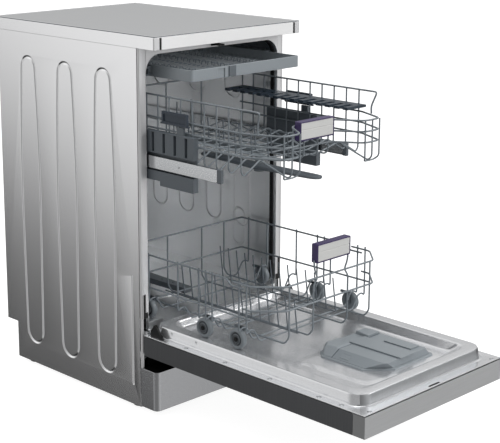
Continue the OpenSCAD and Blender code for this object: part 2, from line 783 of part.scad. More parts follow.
module side_hoop(y) {
    wire([[-ur_half, y, ur_top], [-ur_half, y, ur_floor + corner], [-ur_half + corner, y, ur_floor],
        [-ur_half * 0.66, y, ur_floor_high], [-ur_half * 0.3, y, ur_floor + 2 * corner],
        [ur_half * 0.3, y, ur_floor + 2 * corner], [ur_half * 0.66, y, ur_floor_high],
        [ur_half - corner, y, ur_floor], [ur_half, y, ur_floor + corner], [ur_half, y, ur_top]],
        wire_r, [0, 1, 0]);
}
module upper_rack_wires() {
    color("slategray") {
        wire([[-ur_half, ur_rim_front, ur_top], [-ur_half, rack_rear - corner, ur_top],
            [-ur_half + corner, rack_rear, ur_top], [ur_half - corner, rack_rear, ur_top],
            [ur_half, rack_rear - corner, ur_top], [ur_half, ur_rim_front, ur_top]], wire_r, [0, 0, 1]);
        both() wire([[ur_half, ur_bend_y, ur_top], [ur_half * 0.94, ur_bend_y, ur_rails_z[0]],
            [ur_half * 0.94, ur_bend_y, ur_rails_z[2]]], wire_r, [0, 1, 0]);
        both() wire([[ur_half, ur_rim_front + wire_r, ur_top],
            [ur_half * 0.88, rack_front + 3 * corner, ur_rails_z[0]]], wire_r, [0, 1, 0]);
        for (z = ur_rails_z)
            wire([[-ur_half, rack_rear, z], [-ur_half, ur_side_front, z], [-ur_nose, rack_front, z],
                [-ur_inner_nose, rack_front, z], [-handle_w / 2 - corner, handle_recess_y, z],
                [handle_w / 2 + corner, handle_recess_y, z], [ur_inner_nose, rack_front, z],
                [ur_nose, rack_front, z], [ur_half, ur_side_front, z], [ur_half, rack_rear, z]],
                wire_r, [0, 0, 1]);
        for (i = [0 : ur_cross_n]) side_hoop(ur_side_front + 9 + ur_pitch * i);
        both() {
            wire([[ur_loop_in, rack_front, ur_rails_z[0]], [ur_loop_in, rack_front, ur_floor + corner],
                [ur_loop_in + corner, rack_front + corner, ur_floor],
                [ur_nose - corner, rack_front + corner, ur_floor], [ur_nose, rack_front, ur_floor + corner],
                [ur_nose, rack_front, ur_rails_z[0]]], wire_r, [0, 1, 0.2]);
            wire([[ur_loop_in + 3 * corner, rack_front + corner, ur_floor],
                [ur_loop_in + 3 * corner, rack_front + 10 * corner, ur_floor + 3 * corner],
                [ur_loop_in + 3 * corner, rack_rear, ur_floor + 3 * corner]], wire_r, [1, 0, 0]);
            wire([[ur_half * 0.3, handle_recess_y, ur_rails_z[0]],
                [ur_half * 0.3, handle_recess_y, ur_floor + 3 * corner],
                [ur_half * 0.3, handle_recess_y + corner, ur_floor + 2 * corner],
                [ur_half * 0.3, rack_rear - corner, ur_floor + 2 * corner],
                [ur_half * 0.3, rack_rear, ur_floor + 3 * corner], [ur_half * 0.3, rack_rear, ur_top]],
                wire_r, [1, 0, 0]);
        }
    }
}
module carriage() {
    difference() {
        union() {
            block([-carriage_web, carriage_front, carriage_bottom],
                [-carriage_in, carriage_rear, carriage_top]);
            block([-carriage_out, carriage_front, carriage_up_z],
                [-carriage_in, carriage_rear, carriage_top]);
            block([-carriage_out, carriage_front, carriage_bottom],
                [-carriage_in, carriage_rear, carriage_low_z]);
            block([-lever_out, stem_front, carriage_top], [-stem_in, stem_rear, lever_low - 2 * over]);
            block([-slide_in - 2 * slide_lip + slip, carriage_front + 2 * corner,
                rail_mid_z - slide_h / 2 + 2 * slide_lip + slip], [-carriage_in, carriage_rear - 2 * corner,
                rail_mid_z + slide_h / 2 - 2 * slide_lip - slip]);
        }
        block([-carriage_out - over, carriage_step_y, carriage_bottom - over],
            [-carriage_in + over, carriage_rear + over, carriage_bottom + carriage_step]);
        for (s = [0.12, 0.34, 0.56, 0.78]) let (y = carriage_front + (carriage_rear - carriage_front) * s)
            block([-carriage_out - over, y, carriage_up_z + rail_t],
                [-carriage_web - rail_t, y + 3 * rail_t, carriage_top - rail_t]);
    }
}
module upper_carriages() { color("gray") both() carriage(); }
module lever() {
    translate([(-lever_out - lever_in) / 2, lever_front - lever_pin_end, lever_low + over]) rotate([-90, 0, 0])
        cylinder(r = lever_pin_r, h = lever_len + 2 * lever_pin_end);
    difference() {
        block([-lever_out, lever_front, lever_low], [-lever_in, lever_rear, lever_top]);
        block([-lever_out - over, lever_front + 2 * rail_t, lever_low + 2 * rail_t],
            [-lever_out + rail_t, lever_rear - 2 * rail_t, lever_top - 2 * rail_t]);
    }
}
module height_lever_left() { color("darkslateblue") lever(); }
module height_lever_right() { color("darkslateblue") mirror([1, 0, 0]) lever(); }

// Handles: a grey plate in a coloured frame, clipped to the front wires
frame_t = 4;
handle_d = 17;
plate_in = 3;
upper_handle_reach = 259;
upper_handle_rise = 60;
lower_handle_ahead = 8;
lower_handle_rise = 30.5;
upper_handle_y = front_y - upper_handle_reach;
upper_handle_z = ur_floor + upper_handle_rise;
lower_handle_y = rack_front - lower_handle_ahead;
lower_handle_z = lr_top + lower_handle_rise;
module rack_handle(y, z) {
    difference() {
        block([-handle_w / 2, y, z], [handle_w / 2, y + handle_d, z + handle_h]);
        block([-handle_w / 2 + frame_t, y + plate_in, z + frame_t],
            [handle_w / 2 - frame_t, y + handle_d + over, z + handle_h - frame_t]);
    }
}
module upper_handle() { color("indigo") rack_handle(upper_handle_y, upper_handle_z); }
module lower_handle() { color("indigo") rack_handle(lower_handle_y, lower_handle_z); }

// Cup shelf: comb of plastic that folds up against the side of the rack
shelf_hold = 5.4;
shelf_w = 61;
shelf_out = ur_half - shelf_hold;
shelf_in = shelf_out - shelf_w;
shelf_drop = 36;
shelf_z = ur_top - shelf_drop;
shelf_t = 6;
shelf_front_in = 64;
shelf_rear_in = 15;
shelf_front = rack_front + shelf_front_in;
shelf_rear = rack_rear - shelf_rear_in;
shelf_slot = 12;
shelf_pitch = 26;
shelf_pin_r = 3;
module folding_shelf() {
    color("darkslategray") difference() {
        union() {
            block([shelf_in, shelf_front, shelf_z], [shelf_out - over, shelf_rear, shelf_z + shelf_t]);
            translate([shelf_out, shelf_front, shelf_z + shelf_t / 2]) rotate([-90, 0, 0])
                cylinder(r = shelf_pin_r, h = shelf_rear - shelf_front);
        }
        for (y = [shelf_front + shelf_pitch / 2 : shelf_pitch : shelf_rear - shelf_pitch / 2])
            block([shelf_in - over, y, shelf_z - over],
                [shelf_in + 3 * shelf_slot, y + shelf_slot, shelf_z + 2 * shelf_t]);
    }
}

// Water pipe under the upper rack, from the docking mouth to the arm's hub
pipe_rise = 8;
pipe_z = ur_floor + pipe_rise;
rack_pipe_r = 6;
hub_cap = 3;
module upper_spray_pipe() {
    color("gray") {
        translate([0, upper_hub_y, pipe_z]) rotate([-90, 0, 0])
            cylinder(r = rack_pipe_r, h = rack_rear - slip - upper_hub_y);
        translate([0, upper_hub_y, upper_arm_low - hub_cap]) {
            cylinder(r = arm_spigot_r, h = pipe_z - upper_arm_low + hub_cap);
            cylinder(r = arm_spigot_r + hub_cap, h = hub_cap - slip);
        }
    }
}

// Lower rack: wires on eight wheels, with one row of tines that folds
lr_side = 14;
lr_half = tub_half - lr_side;
lr_front_drop = 3;
lr_mid_drop = 55;
lr_low_drop = 75;
lr_front_z = lr_top - lr_front_drop;
lr_mid_z = lr_top - lr_mid_drop;
lr_low_z = lr_top - lr_low_drop;
lr_floor = 244;
lr_rim_reach = 180;
lr_rim_front = front_y - lr_rim_reach;
lr_dip = 12;
lr_dip_run = 14;
lr_dip_len = 49;
lr_start_reach = 199;
lr_front_start = front_y - lr_start_reach;
lr_corner_reach = 252;
lr_corner_y = front_y - lr_corner_reach;
lr_nose_in = 50;
lr_nose = lr_half - lr_nose_in;
lr_tip = 4;
lr_hoop_shares = [0.141, 0.189, 0.365, 0.409, 0.455, 0.6, 0.809, 0.947];
lr_long_share = 0.68;
lr_hoop_in = 40;
lr_hoop_x = lr_half - lr_hoop_in;
lr_knee = 257.5;
carrier_x = 55;
carrier_bend = 13;
axle_z = track_z + slip + wheel_r;
wheel_front_in = 97;
wheel_mid_in = 197;
wheel_rear_in = 78;
wheel_ys = [rack_front + wheel_front_in, rack_front + wheel_mid_in, rack_rear - wheel_rear_in];
wheel_gap = 15.5;
wheel_w = 14.5;
wheel_out = tub_half - wheel_gap;
wheel_in = wheel_out - wheel_w;
axle_r = 3.5;
wheel_bore_r = axle_r + fit;
axle_gap = 6;
axle_in = wheel_in - axle_gap;
axle_head_r = 6.5;
axle_head_t = 2;
hub_r = 11;
wheel_dish = 3;
tine_x = 62;
tine_h = 76;
tine_lean = 7.5;
tine_pitch = 27;
tine_n = 14;
tine_start = rack_front + 36;
tine_rod_z = lr_floor + (wire_r + thin_r) * cos(30) + slip;
module lower_hoop(y) {
    wire([[-lr_half, y, lr_top + lr_tip], [-lr_half, y, lr_floor + 3 * corner],
        [-lr_half + 1.2 * corner, y, lr_knee],
        [-axle_in, y, lr_knee - wire_r], [-lr_hoop_x, y, lr_floor], [lr_hoop_x, y, lr_floor],
        [axle_in, y, lr_knee - wire_r], [lr_half - 1.2 * corner, y, lr_knee],
        [lr_half, y, lr_floor + 3 * corner], [lr_half, y, lr_top + lr_tip]], wire_r, [0, 1, 0]);
}
module tine(x, y, z) {
    translate([x, y, z]) rotate([-tine_lean, 0, 0]) cylinder(r = thin_r, h = tine_h, $fn = wire_sides);
}
module lower_rack_wires() {
    color("slategray") {
        both() {
            wire([[0, rack_rear, lr_top], [-lr_half + corner, rack_rear, lr_top],
                [-lr_half, rack_rear - corner, lr_top], [-lr_half, lr_rim_front, lr_top]], wire_r, [0, 0, 1]);
            wire([[-lr_half, lr_rim_front + wire_r, lr_top],
                [-lr_half, lr_rim_front - lr_dip_run, lr_top - lr_dip],
                [-lr_half, lr_rim_front - lr_dip_len, lr_top - lr_dip]], wire_r, [1, 0, 0]);
            wire([[-lr_half, lr_front_start, lr_front_z], [-lr_half, lr_corner_y, lr_front_z],
                [-lr_nose, rack_front, lr_front_z], [0, rack_front, lr_front_z]], wire_r, [0, 0, 1]);
            wire([[-lr_half, lr_rim_front - lr_dip_len, lr_mid_z], [-lr_half, lr_corner_y, lr_mid_z],
                [-lr_nose, rack_front, lr_mid_z], [0, rack_front, lr_mid_z]], wire_r, [0, 0, 1]);
            wire([[0, rack_rear, lr_low_z], [-lr_half + corner, rack_rear, lr_low_z],
                [-lr_half, rack_rear - corner, lr_low_z], [-lr_half, lr_corner_y, lr_low_z]],
                wire_r, [0, 0, 1]);
            wire([[-lr_half * lr_long_share, rack_front, lr_front_z],
                [-lr_half * lr_long_share, rack_front, lr_floor + 2 * corner]], wire_r, [0, 1, 0]);
            wire([[-carrier_x, rack_front, lower_handle_z], [-carrier_x, rack_front, lr_top + carrier_bend],
                [-carrier_x + carrier_bend, rack_front, lr_top],
                [-carrier_x, rack_front, lr_top - carrier_bend],
                [-carrier_x, rack_front, lr_floor + 2 * corner]], wire_r, [0, 1, 0]);
            for (x = [-lr_half * lr_long_share, -carrier_x]) wire([[x, rack_front, lr_floor + 2 * corner],
                [x, rack_front + 1.5 * corner, lr_floor + wire_r],
                [x, rack_rear - 1.5 * corner, lr_floor + wire_r],
                [x, rack_rear, lr_floor + 2 * corner], [x, rack_rear, lr_top]],
                wire_r, [1, 0, 0]);
        }
        for (s = lr_hoop_shares) lower_hoop(rack_front + (rack_rear - rack_front) * s);
        wire([[-tine_x, tine_start, lr_floor + wire_r], [-tine_x, rack_rear, lr_floor + wire_r]],
            wire_r, [1, 0, 0]);
        for (i = [0 : tine_n - 1]) tine(-tine_x, tine_start + 2 + tine_pitch * i, lr_floor + wire_r);
        both() {
            for (y = [wheel_ys[0], wheel_ys[1]]) {
                wheel_bracket(y);
                wheel_axle(y);
            }
            difference() {
                wheel_bracket(wheel_ys[2]);
                translate([-axle_in + over, wheel_ys[2], axle_z]) rotate([0, -90, 0])
                    cylinder(r = wheel_bore_r, h = wheel_out);
            }
        }
    }
}
// Bracket that carries one left wheel, and the stub axle with its head
module wheel_bracket(y) {
    translate([-axle_in, y, axle_z]) rotate([0, -90, 0])
        cylinder(r = axle_head_r, h = wheel_in - over - axle_in);
    block([-wheel_in + over, y - axle_head_r, axle_z], [-axle_in, y + axle_head_r, lr_knee]);
    block([-wheel_in + over, y - 2 * axle_head_r, lr_knee - 2 * wire_r],
        [-axle_in, y + 3 * axle_head_r, lr_knee]);
}
module wheel_axle(y) {
    translate([-axle_in, y, axle_z]) rotate([0, -90, 0]) cylinder(r = axle_r, h = wheel_out + over - axle_in);
    translate([-wheel_out - slip, y, axle_z]) rotate([0, -90, 0]) cylinder(r = axle_head_r, h = axle_head_t);
}
module rear_axle_pins() {
    color("silver") both() {
        wheel_axle(wheel_ys[2]);
        translate([-axle_in + slip + axle_head_t, wheel_ys[2], axle_z]) rotate([0, -90, 0]) {
            cylinder(r = axle_head_r, h = axle_head_t);
            cylinder(r = axle_r, h = 2 * axle_head_t);
        }
    }
}
module wheels(y) {
    color("gray") both() translate([-wheel_in, y, axle_z]) rotate([0, -90, 0]) difference() {
        cylinder(r = wheel_r, h = wheel_out - wheel_in);
        translate([0, 0, -over]) cylinder(r = wheel_bore_r, h = wheel_out);
        for (z = [-over, wheel_out - wheel_in - wheel_dish]) translate([0, 0, z]) difference() {
            cylinder(r = wheel_r - wheel_dish, h = wheel_dish + over);
            translate([0, 0, -over]) cylinder(r = hub_r, h = wheel_dish * 4);
        }
    }
}
module front_wheels() { wheels(wheel_ys[0]); }
module middle_wheels() { wheels(wheel_ys[1]); }
module rear_wheels() { wheels(wheel_ys[2]); }
module folding_tines() {
    color("slategray") {
        translate([tine_x, tine_start, tine_rod_z]) rotate([-90, 0, 0])
            cylinder(r = thin_r, h = rack_rear - 2 * corner - tine_start, $fn = hull_fn);
        for (i = [0 : tine_n - 1]) tine(tine_x, tine_start + 2 + tine_pitch * i, tine_rod_z);
    }
}

// Door: painted outer tray, stainless inner pan, control panel at its free end
door_end = front_y - door_reach;
panel_len = 30;
panel_split = door_end + panel_len;
door_gap = 6;
door_rear = flange_y - door_gap;
skin = 1;
arm_slot_in = 22;
arm_slot_x = half_w - arm_slot_in;
pan_edge = 19;
pan_slope = 2.5;
pan_foot = half_w - pan_edge;
pan_top_half = pan_foot - pan_slope;
pan_front_foot = door_end + 27;
pan_front_top = door_end + 30;
pan_rear_foot = front_y + 40;
pan_rear_top = front_y + 38;
basin_rim = 28.5;
basin_slope = 16;
basin_half = pan_top_half - basin_rim;
basin_low_half = basin_half - basin_slope;
basin_front = door_end + 54;
basin_front_low = door_end + 80;
basin_rear = front_y + 16;
basin_rear_low = front_y + 8;
basin_floor = 191;
pan_r = 34;
pan_t = 0.8;
hull_fn = 32;
screw_r = 3.2;
screw_h = 1;
screw_edge = 10;
side_screw_ys = [-520, -462, -329, -200, -81];
pan_skin = 0.25;
module pan_slab(half, y0, y1, z) {
    translate([0, 0, z]) linear_extrude(pan_skin) round_rect([-half, y0], [half, y1], pan_r, $fn = hull_fn);
}
module pan_outer(g) {
    hull() {
        pan_slab(pan_foot - g, pan_front_foot + g, pan_rear_foot - g, door_high - skin - g);
        pan_slab(pan_top_half - g, pan_front_top + g, pan_rear_top - g, track_z - pan_skin - g);
    }
}
module basin(g) {
    hull() {
        pan_slab(basin_half + g, basin_front - g, basin_rear + g, track_z);
        pan_slab(basin_low_half + g, basin_front_low - g, basin_rear_low + g, basin_floor - g);
    }
}
module door_inner_panel() {
    color("silver") difference() {
        union() {
            block([-half_w, door_end, door_high - skin], [half_w, door_rear - skin, door_high]);
            pan_outer(0);
        }
        difference() {
            pan_outer(pan_t);
            basin(pan_t);
        }
        basin(0);
        both() block([-half_w - over, cover_rear + slip, door_high - 2 * skin],
            [-arm_slot_x, door_rear + over, door_high + over]);
        block([-latch_half, latch_y0, door_high - 2 * skin], [latch_half, latch_y1, door_high + over]);
    }
}
module door_outer_panel() {
    color("dimgray") difference() {
        block([-half_w, panel_split + slip, door_low], [half_w, door_rear, door_high - skin]);
        block([-half_w + skin, panel_split - over, door_low + skin],
            [half_w - skin, door_rear - skin, door_high]);
        both() block([-half_w + skin, door_rear - 2 * skin, door_low + skin],
            [-arm_slot_x, door_rear + over, door_high]);
    }
}
panel_wall = 2.5;
button_r = 6;
button_h = 3;
button_out = 0.8;
button_share = 0.268;
button_pitch = half_w * button_share;
button_y = (door_end + panel_split) / 2;
module control_panel() {
    color("gray") difference() {
        block([-half_w, door_end, door_low], [half_w, panel_split, door_high - skin]);
        block([-half_w + panel_wall, door_end + panel_wall, door_low + panel_wall],
            [half_w - panel_wall, panel_split + over, door_high]);
        for (x = [-2, 0, 2]) translate([x * button_pitch, button_y, door_low - over])
            cylinder(r = button_r + slip, h = panel_wall + 2 * over);
    }
}
module button(x) {
    color("silver") translate([x, button_y, door_low - button_out]) {
        cylinder(r = button_r, h = button_h + button_out);
        translate([0, 0, panel_wall + button_out + fit]) cylinder(r = button_r + 1.5, h = 1.5);
    }
}
module power_button() { button(-2 * button_pitch); }
module programme_button() { button(0); }
module start_button() { button(2 * button_pitch); }
board_z = door_low + 12;
module control_module() {
    color("darkgreen") block([-3 * button_pitch, door_end + panel_wall, board_z],
        [3 * button_pitch, panel_split - 2 * panel_wall, board_z + 2 * panel_wall]);
}
latch_half = 17;
latch_y0 = door_end + 4.5;
latch_y1 = door_end + 10;
latch_drop = 26;
module door_latch() {
    color("black") difference() {
        block([-1.4 * latch_half, door_end + panel_wall, door_high - skin - latch_drop],
            [1.4 * latch_half, panel_split - panel_wall, door_high - skin]);
        block([-latch_half + slip, latch_y0, door_high - latch_drop * 0.7],
            [latch_half - slip, latch_y1, door_high + over]);
    }
}
module latch_strike() {
    color("black") {
        block([-latch_half * 0.7, flange_y - 4, tub_top + 3], [latch_half * 0.7, flange_y, tub_top + 10]);
        block([-latch_half * 0.5, flange_y - 24, tub_top + 4.5], [latch_half * 0.5, flange_y - 4, tub_top + 8]);
    }
}
module door_screws() {
    color("dimgray") {
        both() for (y = side_screw_ys) translate([-half_w + screw_edge, front_y + y, door_high])
            cylinder(r = screw_r, h = screw_h);
        both() translate([-half_w + 2.3 * screw_edge, door_end + 0.8 * screw_edge, door_high])
            cylinder(r = screw_r, h = screw_h);
    }
}
disp_left = -62;
disp_right = 120;
disp_reach = 489;
disp_front = front_y - disp_reach;
disp_len = 178;
disp_rear = disp_front + disp_len;
disp_cut_w = 52;
disp_cut = 43;
disp_rear_cut = 22;
disp_base_h = 5;
block_left_in = 30;
block_right_in = 17;
block_front_in = 6;
disp_block_top = 210;
horn_h = 6;
horn_len = 40;
horn_in = 5;
lid_left = 11;
lid_right = 60;
lid_in = 3;
lid_front = disp_front + lid_in;
lid_len = 138;
lid_rear = lid_front + lid_len;
lid_h = 3;
lid_gap = 3;
cap_left = 68;
cap_right = 96;
cap_in = 22;
cap_len = 70;
cap_front = disp_front + cap_in;
cap_rear = cap_front + cap_len;
module disp_outline(l, r, f, share) {
    polygon([[disp_left + l, disp_front + f + disp_cut * share],
        [disp_left + l + disp_cut_w * share, disp_front + f],
        [disp_right - r - horn_in, disp_front + f], [disp_right - r, disp_front + f + horn_in],
        [disp_right - r, disp_rear - horn_in], [disp_right - r - horn_in, disp_rear],
        [disp_left + l + disp_rear_cut * share, disp_rear],
        [disp_left + l, disp_rear - disp_rear_cut * share]]);
}
module dispenser_body() {
    color("slategray") difference() {
        union() {
            translate([0, 0, basin_floor]) linear_extrude(disp_base_h) disp_outline(0, 0, 0, 1);
            hull() {
                translate([0, 0, basin_floor]) linear_extrude(disp_base_h)
                    disp_outline(horn_in, horn_in, horn_in, 0.9);
                translate([0, 0, disp_block_top - skin]) linear_extrude(skin)
                    disp_outline(block_left_in, block_right_in, block_front_in, 0.1);
            }
            block([disp_left + block_left_in, disp_rear - horn_len - horn_in, disp_block_top - over],
                [lid_left - lid_gap, disp_rear - horn_in, disp_block_top + horn_h]);
            block([lid_right + lid_gap, disp_rear - horn_len - horn_in, disp_block_top - over],
                [disp_right - block_right_in - horn_in, disp_rear - horn_in, disp_block_top + horn_h]);
        }
        block([lid_left + 3 * lid_h, lid_front + 5 * lid_h, basin_floor + disp_base_h],
            [lid_right - 3 * lid_h, lid_rear - 3 * lid_h, disp_block_top + over]);
        translate([(cap_left + cap_right) / 2, (cap_front + cap_rear) / 2, basin_floor + disp_base_h])
            cylinder(r = (cap_right - cap_left) * 0.3, h = disp_block_top - basin_floor);
    }
}
module dispenser_lid() {
    color("gray") block([lid_left, lid_front, disp_block_top + fit],
        [lid_right, lid_rear, disp_block_top + lid_h]);
}
module rinse_aid_cap() {
    color("gray") {
        block([cap_left, cap_front, disp_block_top + fit], [cap_right, cap_rear, disp_block_top + lid_h]);
        translate([cap_left, cap_rear, disp_block_top + lid_h / 2]) rotate([0, 90, 0])
            cylinder(r = lid_h / 2 - fit, h = cap_right - cap_left);
    }
}

worktop_board();
worktop_frame();
worktop_trim();
side_panel_left();
side_panel_right();
back_panel();
base_tray();
plinth();
levelling_feet();
tub();
door_seal();
sump();
filter_plate();
feed_pipe();
circulation_pump();
drain_pump();
water_softener();
inlet_valve();
hinge_brackets();
hinge_springs();
upper_fixed_rails();
tray_rails();
latch_strike();
filter_cup();
salt_cap();
lower_spray_arm();
ceiling_spray_arm();
upper_sliding_rails();
rail_end_caps();
door_outer_panel();
door_inner_panel();
control_panel();
control_module();
door_latch();
hinge_arms();
hinge_covers();
door_screws();
dispenser_body();
power_button();
programme_button();
start_button();
dispenser_lid();
rinse_aid_cap();
top_tray_frame();
top_tray_wires();
upper_carriages();
height_lever_left();
height_lever_right();
upper_rack_wires();
upper_handle();
folding_shelf();
upper_spray_arm();
upper_spray_pipe();
lower_rack_wires();
lower_handle();
folding_tines();
rear_axle_pins();
front_wheels();
middle_wheels();
rear_wheels();
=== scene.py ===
import bmesh
import bpy
import math
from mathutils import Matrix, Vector
from mathutils.geometry import tessellate_polygon


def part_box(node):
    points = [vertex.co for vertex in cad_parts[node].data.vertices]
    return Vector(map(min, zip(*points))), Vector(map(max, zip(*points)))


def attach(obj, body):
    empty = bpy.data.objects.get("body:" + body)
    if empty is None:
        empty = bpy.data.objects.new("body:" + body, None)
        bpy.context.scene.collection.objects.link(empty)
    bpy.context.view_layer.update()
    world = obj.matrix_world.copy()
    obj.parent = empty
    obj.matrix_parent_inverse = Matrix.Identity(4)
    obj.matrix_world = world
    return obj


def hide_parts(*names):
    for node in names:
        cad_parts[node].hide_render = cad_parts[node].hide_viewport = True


# Slimline dishwasher standing open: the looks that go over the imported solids.
# Everything is in the solids' own frame, X across the front, Y to the back, Z up.
# Sizes are in millimetres here and are turned into metres where a mesh or wire is made.
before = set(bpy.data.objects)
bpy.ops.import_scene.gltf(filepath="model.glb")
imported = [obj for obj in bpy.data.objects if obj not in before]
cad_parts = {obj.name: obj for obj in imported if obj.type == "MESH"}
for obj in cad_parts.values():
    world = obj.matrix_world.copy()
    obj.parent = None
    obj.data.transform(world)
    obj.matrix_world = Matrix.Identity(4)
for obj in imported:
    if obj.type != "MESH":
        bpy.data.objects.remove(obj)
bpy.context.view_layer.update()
scene = bpy.context.scene
MM = 0.001


# Studio
# A bright, soft room that falls off to dark below the horizon, to the right and behind,
# which is what the painted and steel sheets mirror.
def add(tree, kind, links=(), **values):
    """A node with its inputs set, and links given as (input, node, output)."""
    made = tree.nodes.new("ShaderNode" + kind)
    for name, value in values.items():
        if hasattr(made, name):
            setattr(made, name, value)
        else:
            made.inputs[name.replace("_", " ")].default_value = value
    for target, source, output in links:
        tree.links.new(source.outputs[output], made.inputs[target])
    return made


def grey_ramp(tree, source, stops):
    """Greys that follow a value, from (position, grey) pairs."""
    ramp = add(tree, "ValToRGB", [(0, source, 0)])
    while len(ramp.color_ramp.elements) < len(stops):
        ramp.color_ramp.elements.new(0.5)
    for element, (position, grey) in zip(ramp.color_ramp.elements, stops):
        element.position = position
        element.color = (grey, grey, grey, 1)
    return ramp


def along(tree, coords, direction):
    """How far each direction of the room points along a given one."""
    made = add(tree, "VectorMath", [(0, coords, "Generated")], operation="DOT_PRODUCT")
    made.inputs[1].default_value = direction
    return made


def lifted(tree, source, output, step):
    made = add(tree, "Math", [(0, source, output)], operation="ADD")
    made.inputs[1].default_value = step
    return made


def light_room():
    room = bpy.data.worlds.new("studio")
    scene.world = room
    room.use_nodes = True
    tree = room.node_tree
    tree.nodes.clear()
    coords = add(tree, "TexCoord")
    parts = add(tree, "SeparateXYZ", [(0, coords, "Generated")])
    level = lifted(tree, along(tree, coords, (-0.54, -0.66, 1)), "Value", 0.7)
    front = grey_ramp(tree, level, [(0.0, 0.03), (0.162, 0.06), (0.211, 0.09), (0.237, 0.13), (0.250, 0.22),
                                    (0.285, 0.45), (0.308, 0.66), (0.357, 0.80), (0.394, 0.96), (1.0, 1.0)])
    flag = add(tree, "MapRange", [("Value", parts, 0)], From_Min=0.69, From_Max=0.76, To_Min=1.0, To_Max=0.42)
    flagged = add(tree, "Mix", [(0, flag, 0), (7, front, 0)], data_type="RGBA")
    flagged.inputs[6].default_value = (0.03, 0.03, 0.03, 1)
    rear = grey_ramp(tree, lifted(tree, parts, 2, 0.5),
                     [(0.0, 0.10), (0.30, 0.16), (0.42, 0.30), (0.55, 0.40), (0.85, 0.52), (1.0, 0.85)])
    rearward = along(tree, coords, (0.707, 0.707, 0))
    share = add(tree, "MapRange", [("Value", rearward, "Value")], From_Min=0.15, From_Max=0.8)
    mixed = add(tree, "Mix", [(0, share, 0), (6, flagged, 2), (7, rear, 0)], data_type="RGBA")
    leftward = along(tree, coords, (-0.85, -0.5, 0))
    shade = add(tree, "MapRange", [("Value", leftward, "Value")], From_Min=0.25, From_Max=0.8,
                To_Min=1.0, To_Max=0.35)
    glow = add(tree, "Background", [(0, mixed, 2), (1, shade, 0)])
    add(tree, "OutputWorld", [(0, glow, 0)])


def soft_light(name, spot, aim, size, power):
    data = bpy.data.lights.new(name, "AREA")
    data.shape = "SQUARE"
    data.size = size
    data.energy = power
    made = bpy.data.objects.new(name, data)
    made.location = spot
    made.rotation_euler = (Vector(aim) - Vector(spot)).to_track_quat("-Z", "Y").to_euler()
    scene.collection.objects.link(made)


light_room()
soft_light("key_light", (2.4, -3.4, 2.6), (0, -0.1, 0.5), 2.2, 60)
soft_light("top_light", (-0.6, -0.6, 4.0), (0, 0, 0.6), 2.0, 22)


# Floor
# A plain, pale, matt floor. It glows by itself, so that it stays even, and it is kept out of
# what the sheets mirror.
def metres(point):
    return Vector(point) * MM


def flat_mesh(name, points, faces, smooth=False):
    """A mesh object from points in millimetres."""
    data = bpy.data.meshes.new(name)
    data.from_pydata([metres(p) for p in points], [], faces)
    data.update()
    for polygon in data.polygons:
        polygon.use_smooth = smooth
    made = bpy.data.objects.new(name, data)
    scene.collection.objects.link(made)
    return made


floor_reach = 60000
floor_corners = ((-1, -1), (1, -1), (1, 1), (-1, 1))
floor = flat_mesh("floor", [(x * floor_reach, y * floor_reach, 0) for x, y in floor_corners], [(0, 1, 2, 3)])
floor_paint = bpy.data.materials.new("studio floor paint")
floor_paint.use_nodes = True
shader = floor_paint.node_tree.nodes["Principled BSDF"]
shader.inputs["Base Color"].default_value = (0.35, 0.35, 0.35, 1)
shader.inputs["Roughness"].default_value = 0.9
shader.inputs["Specular IOR Level"].default_value = 0.0
shader.inputs["Emission Color"].default_value = (1, 1, 1, 1)
shader.inputs["Emission Strength"].default_value = 0.94
floor.data.materials.append(floor_paint)
floor.visible_glossy = False
floor.visible_diffuse = False

# Camera
# A long lens from the front left, a little above the worktop. Its shift puts the machine where
# the picture has it.
camera = bpy.data.objects.new("camera", bpy.data.cameras.new("camera"))
camera.location = (-2.0877, -2.0956, 1.2)
camera.rotation_euler = (math.radians(90 - 12.783), 0, math.radians(-44.396))
camera.data.lens = 97.36
camera.data.sensor_width = 36
camera.data.shift_x = 0.059
camera.data.shift_y = -0.10
scene.collection.objects.link(camera)
scene.camera = camera
scene.view_settings.view_transform = "Standard"


# Worktop
# A laminated board let into a light frame, with a bright plastic strip clipped into its front
# edge between two moulded corners. A thin lip holds the laminate down all round.
def linear(hex_colour):
    """An sRGB colour such as #a0a0a0 as the linear values that shaders take."""
    parts = [int(hex_colour[i : i + 2], 16) / 255 for i in (1, 3, 5)]
    return tuple(p / 12.92 if p < 0.04045 else ((p + 0.055) / 1.055) ** 2.4 for p in parts) + (1,)


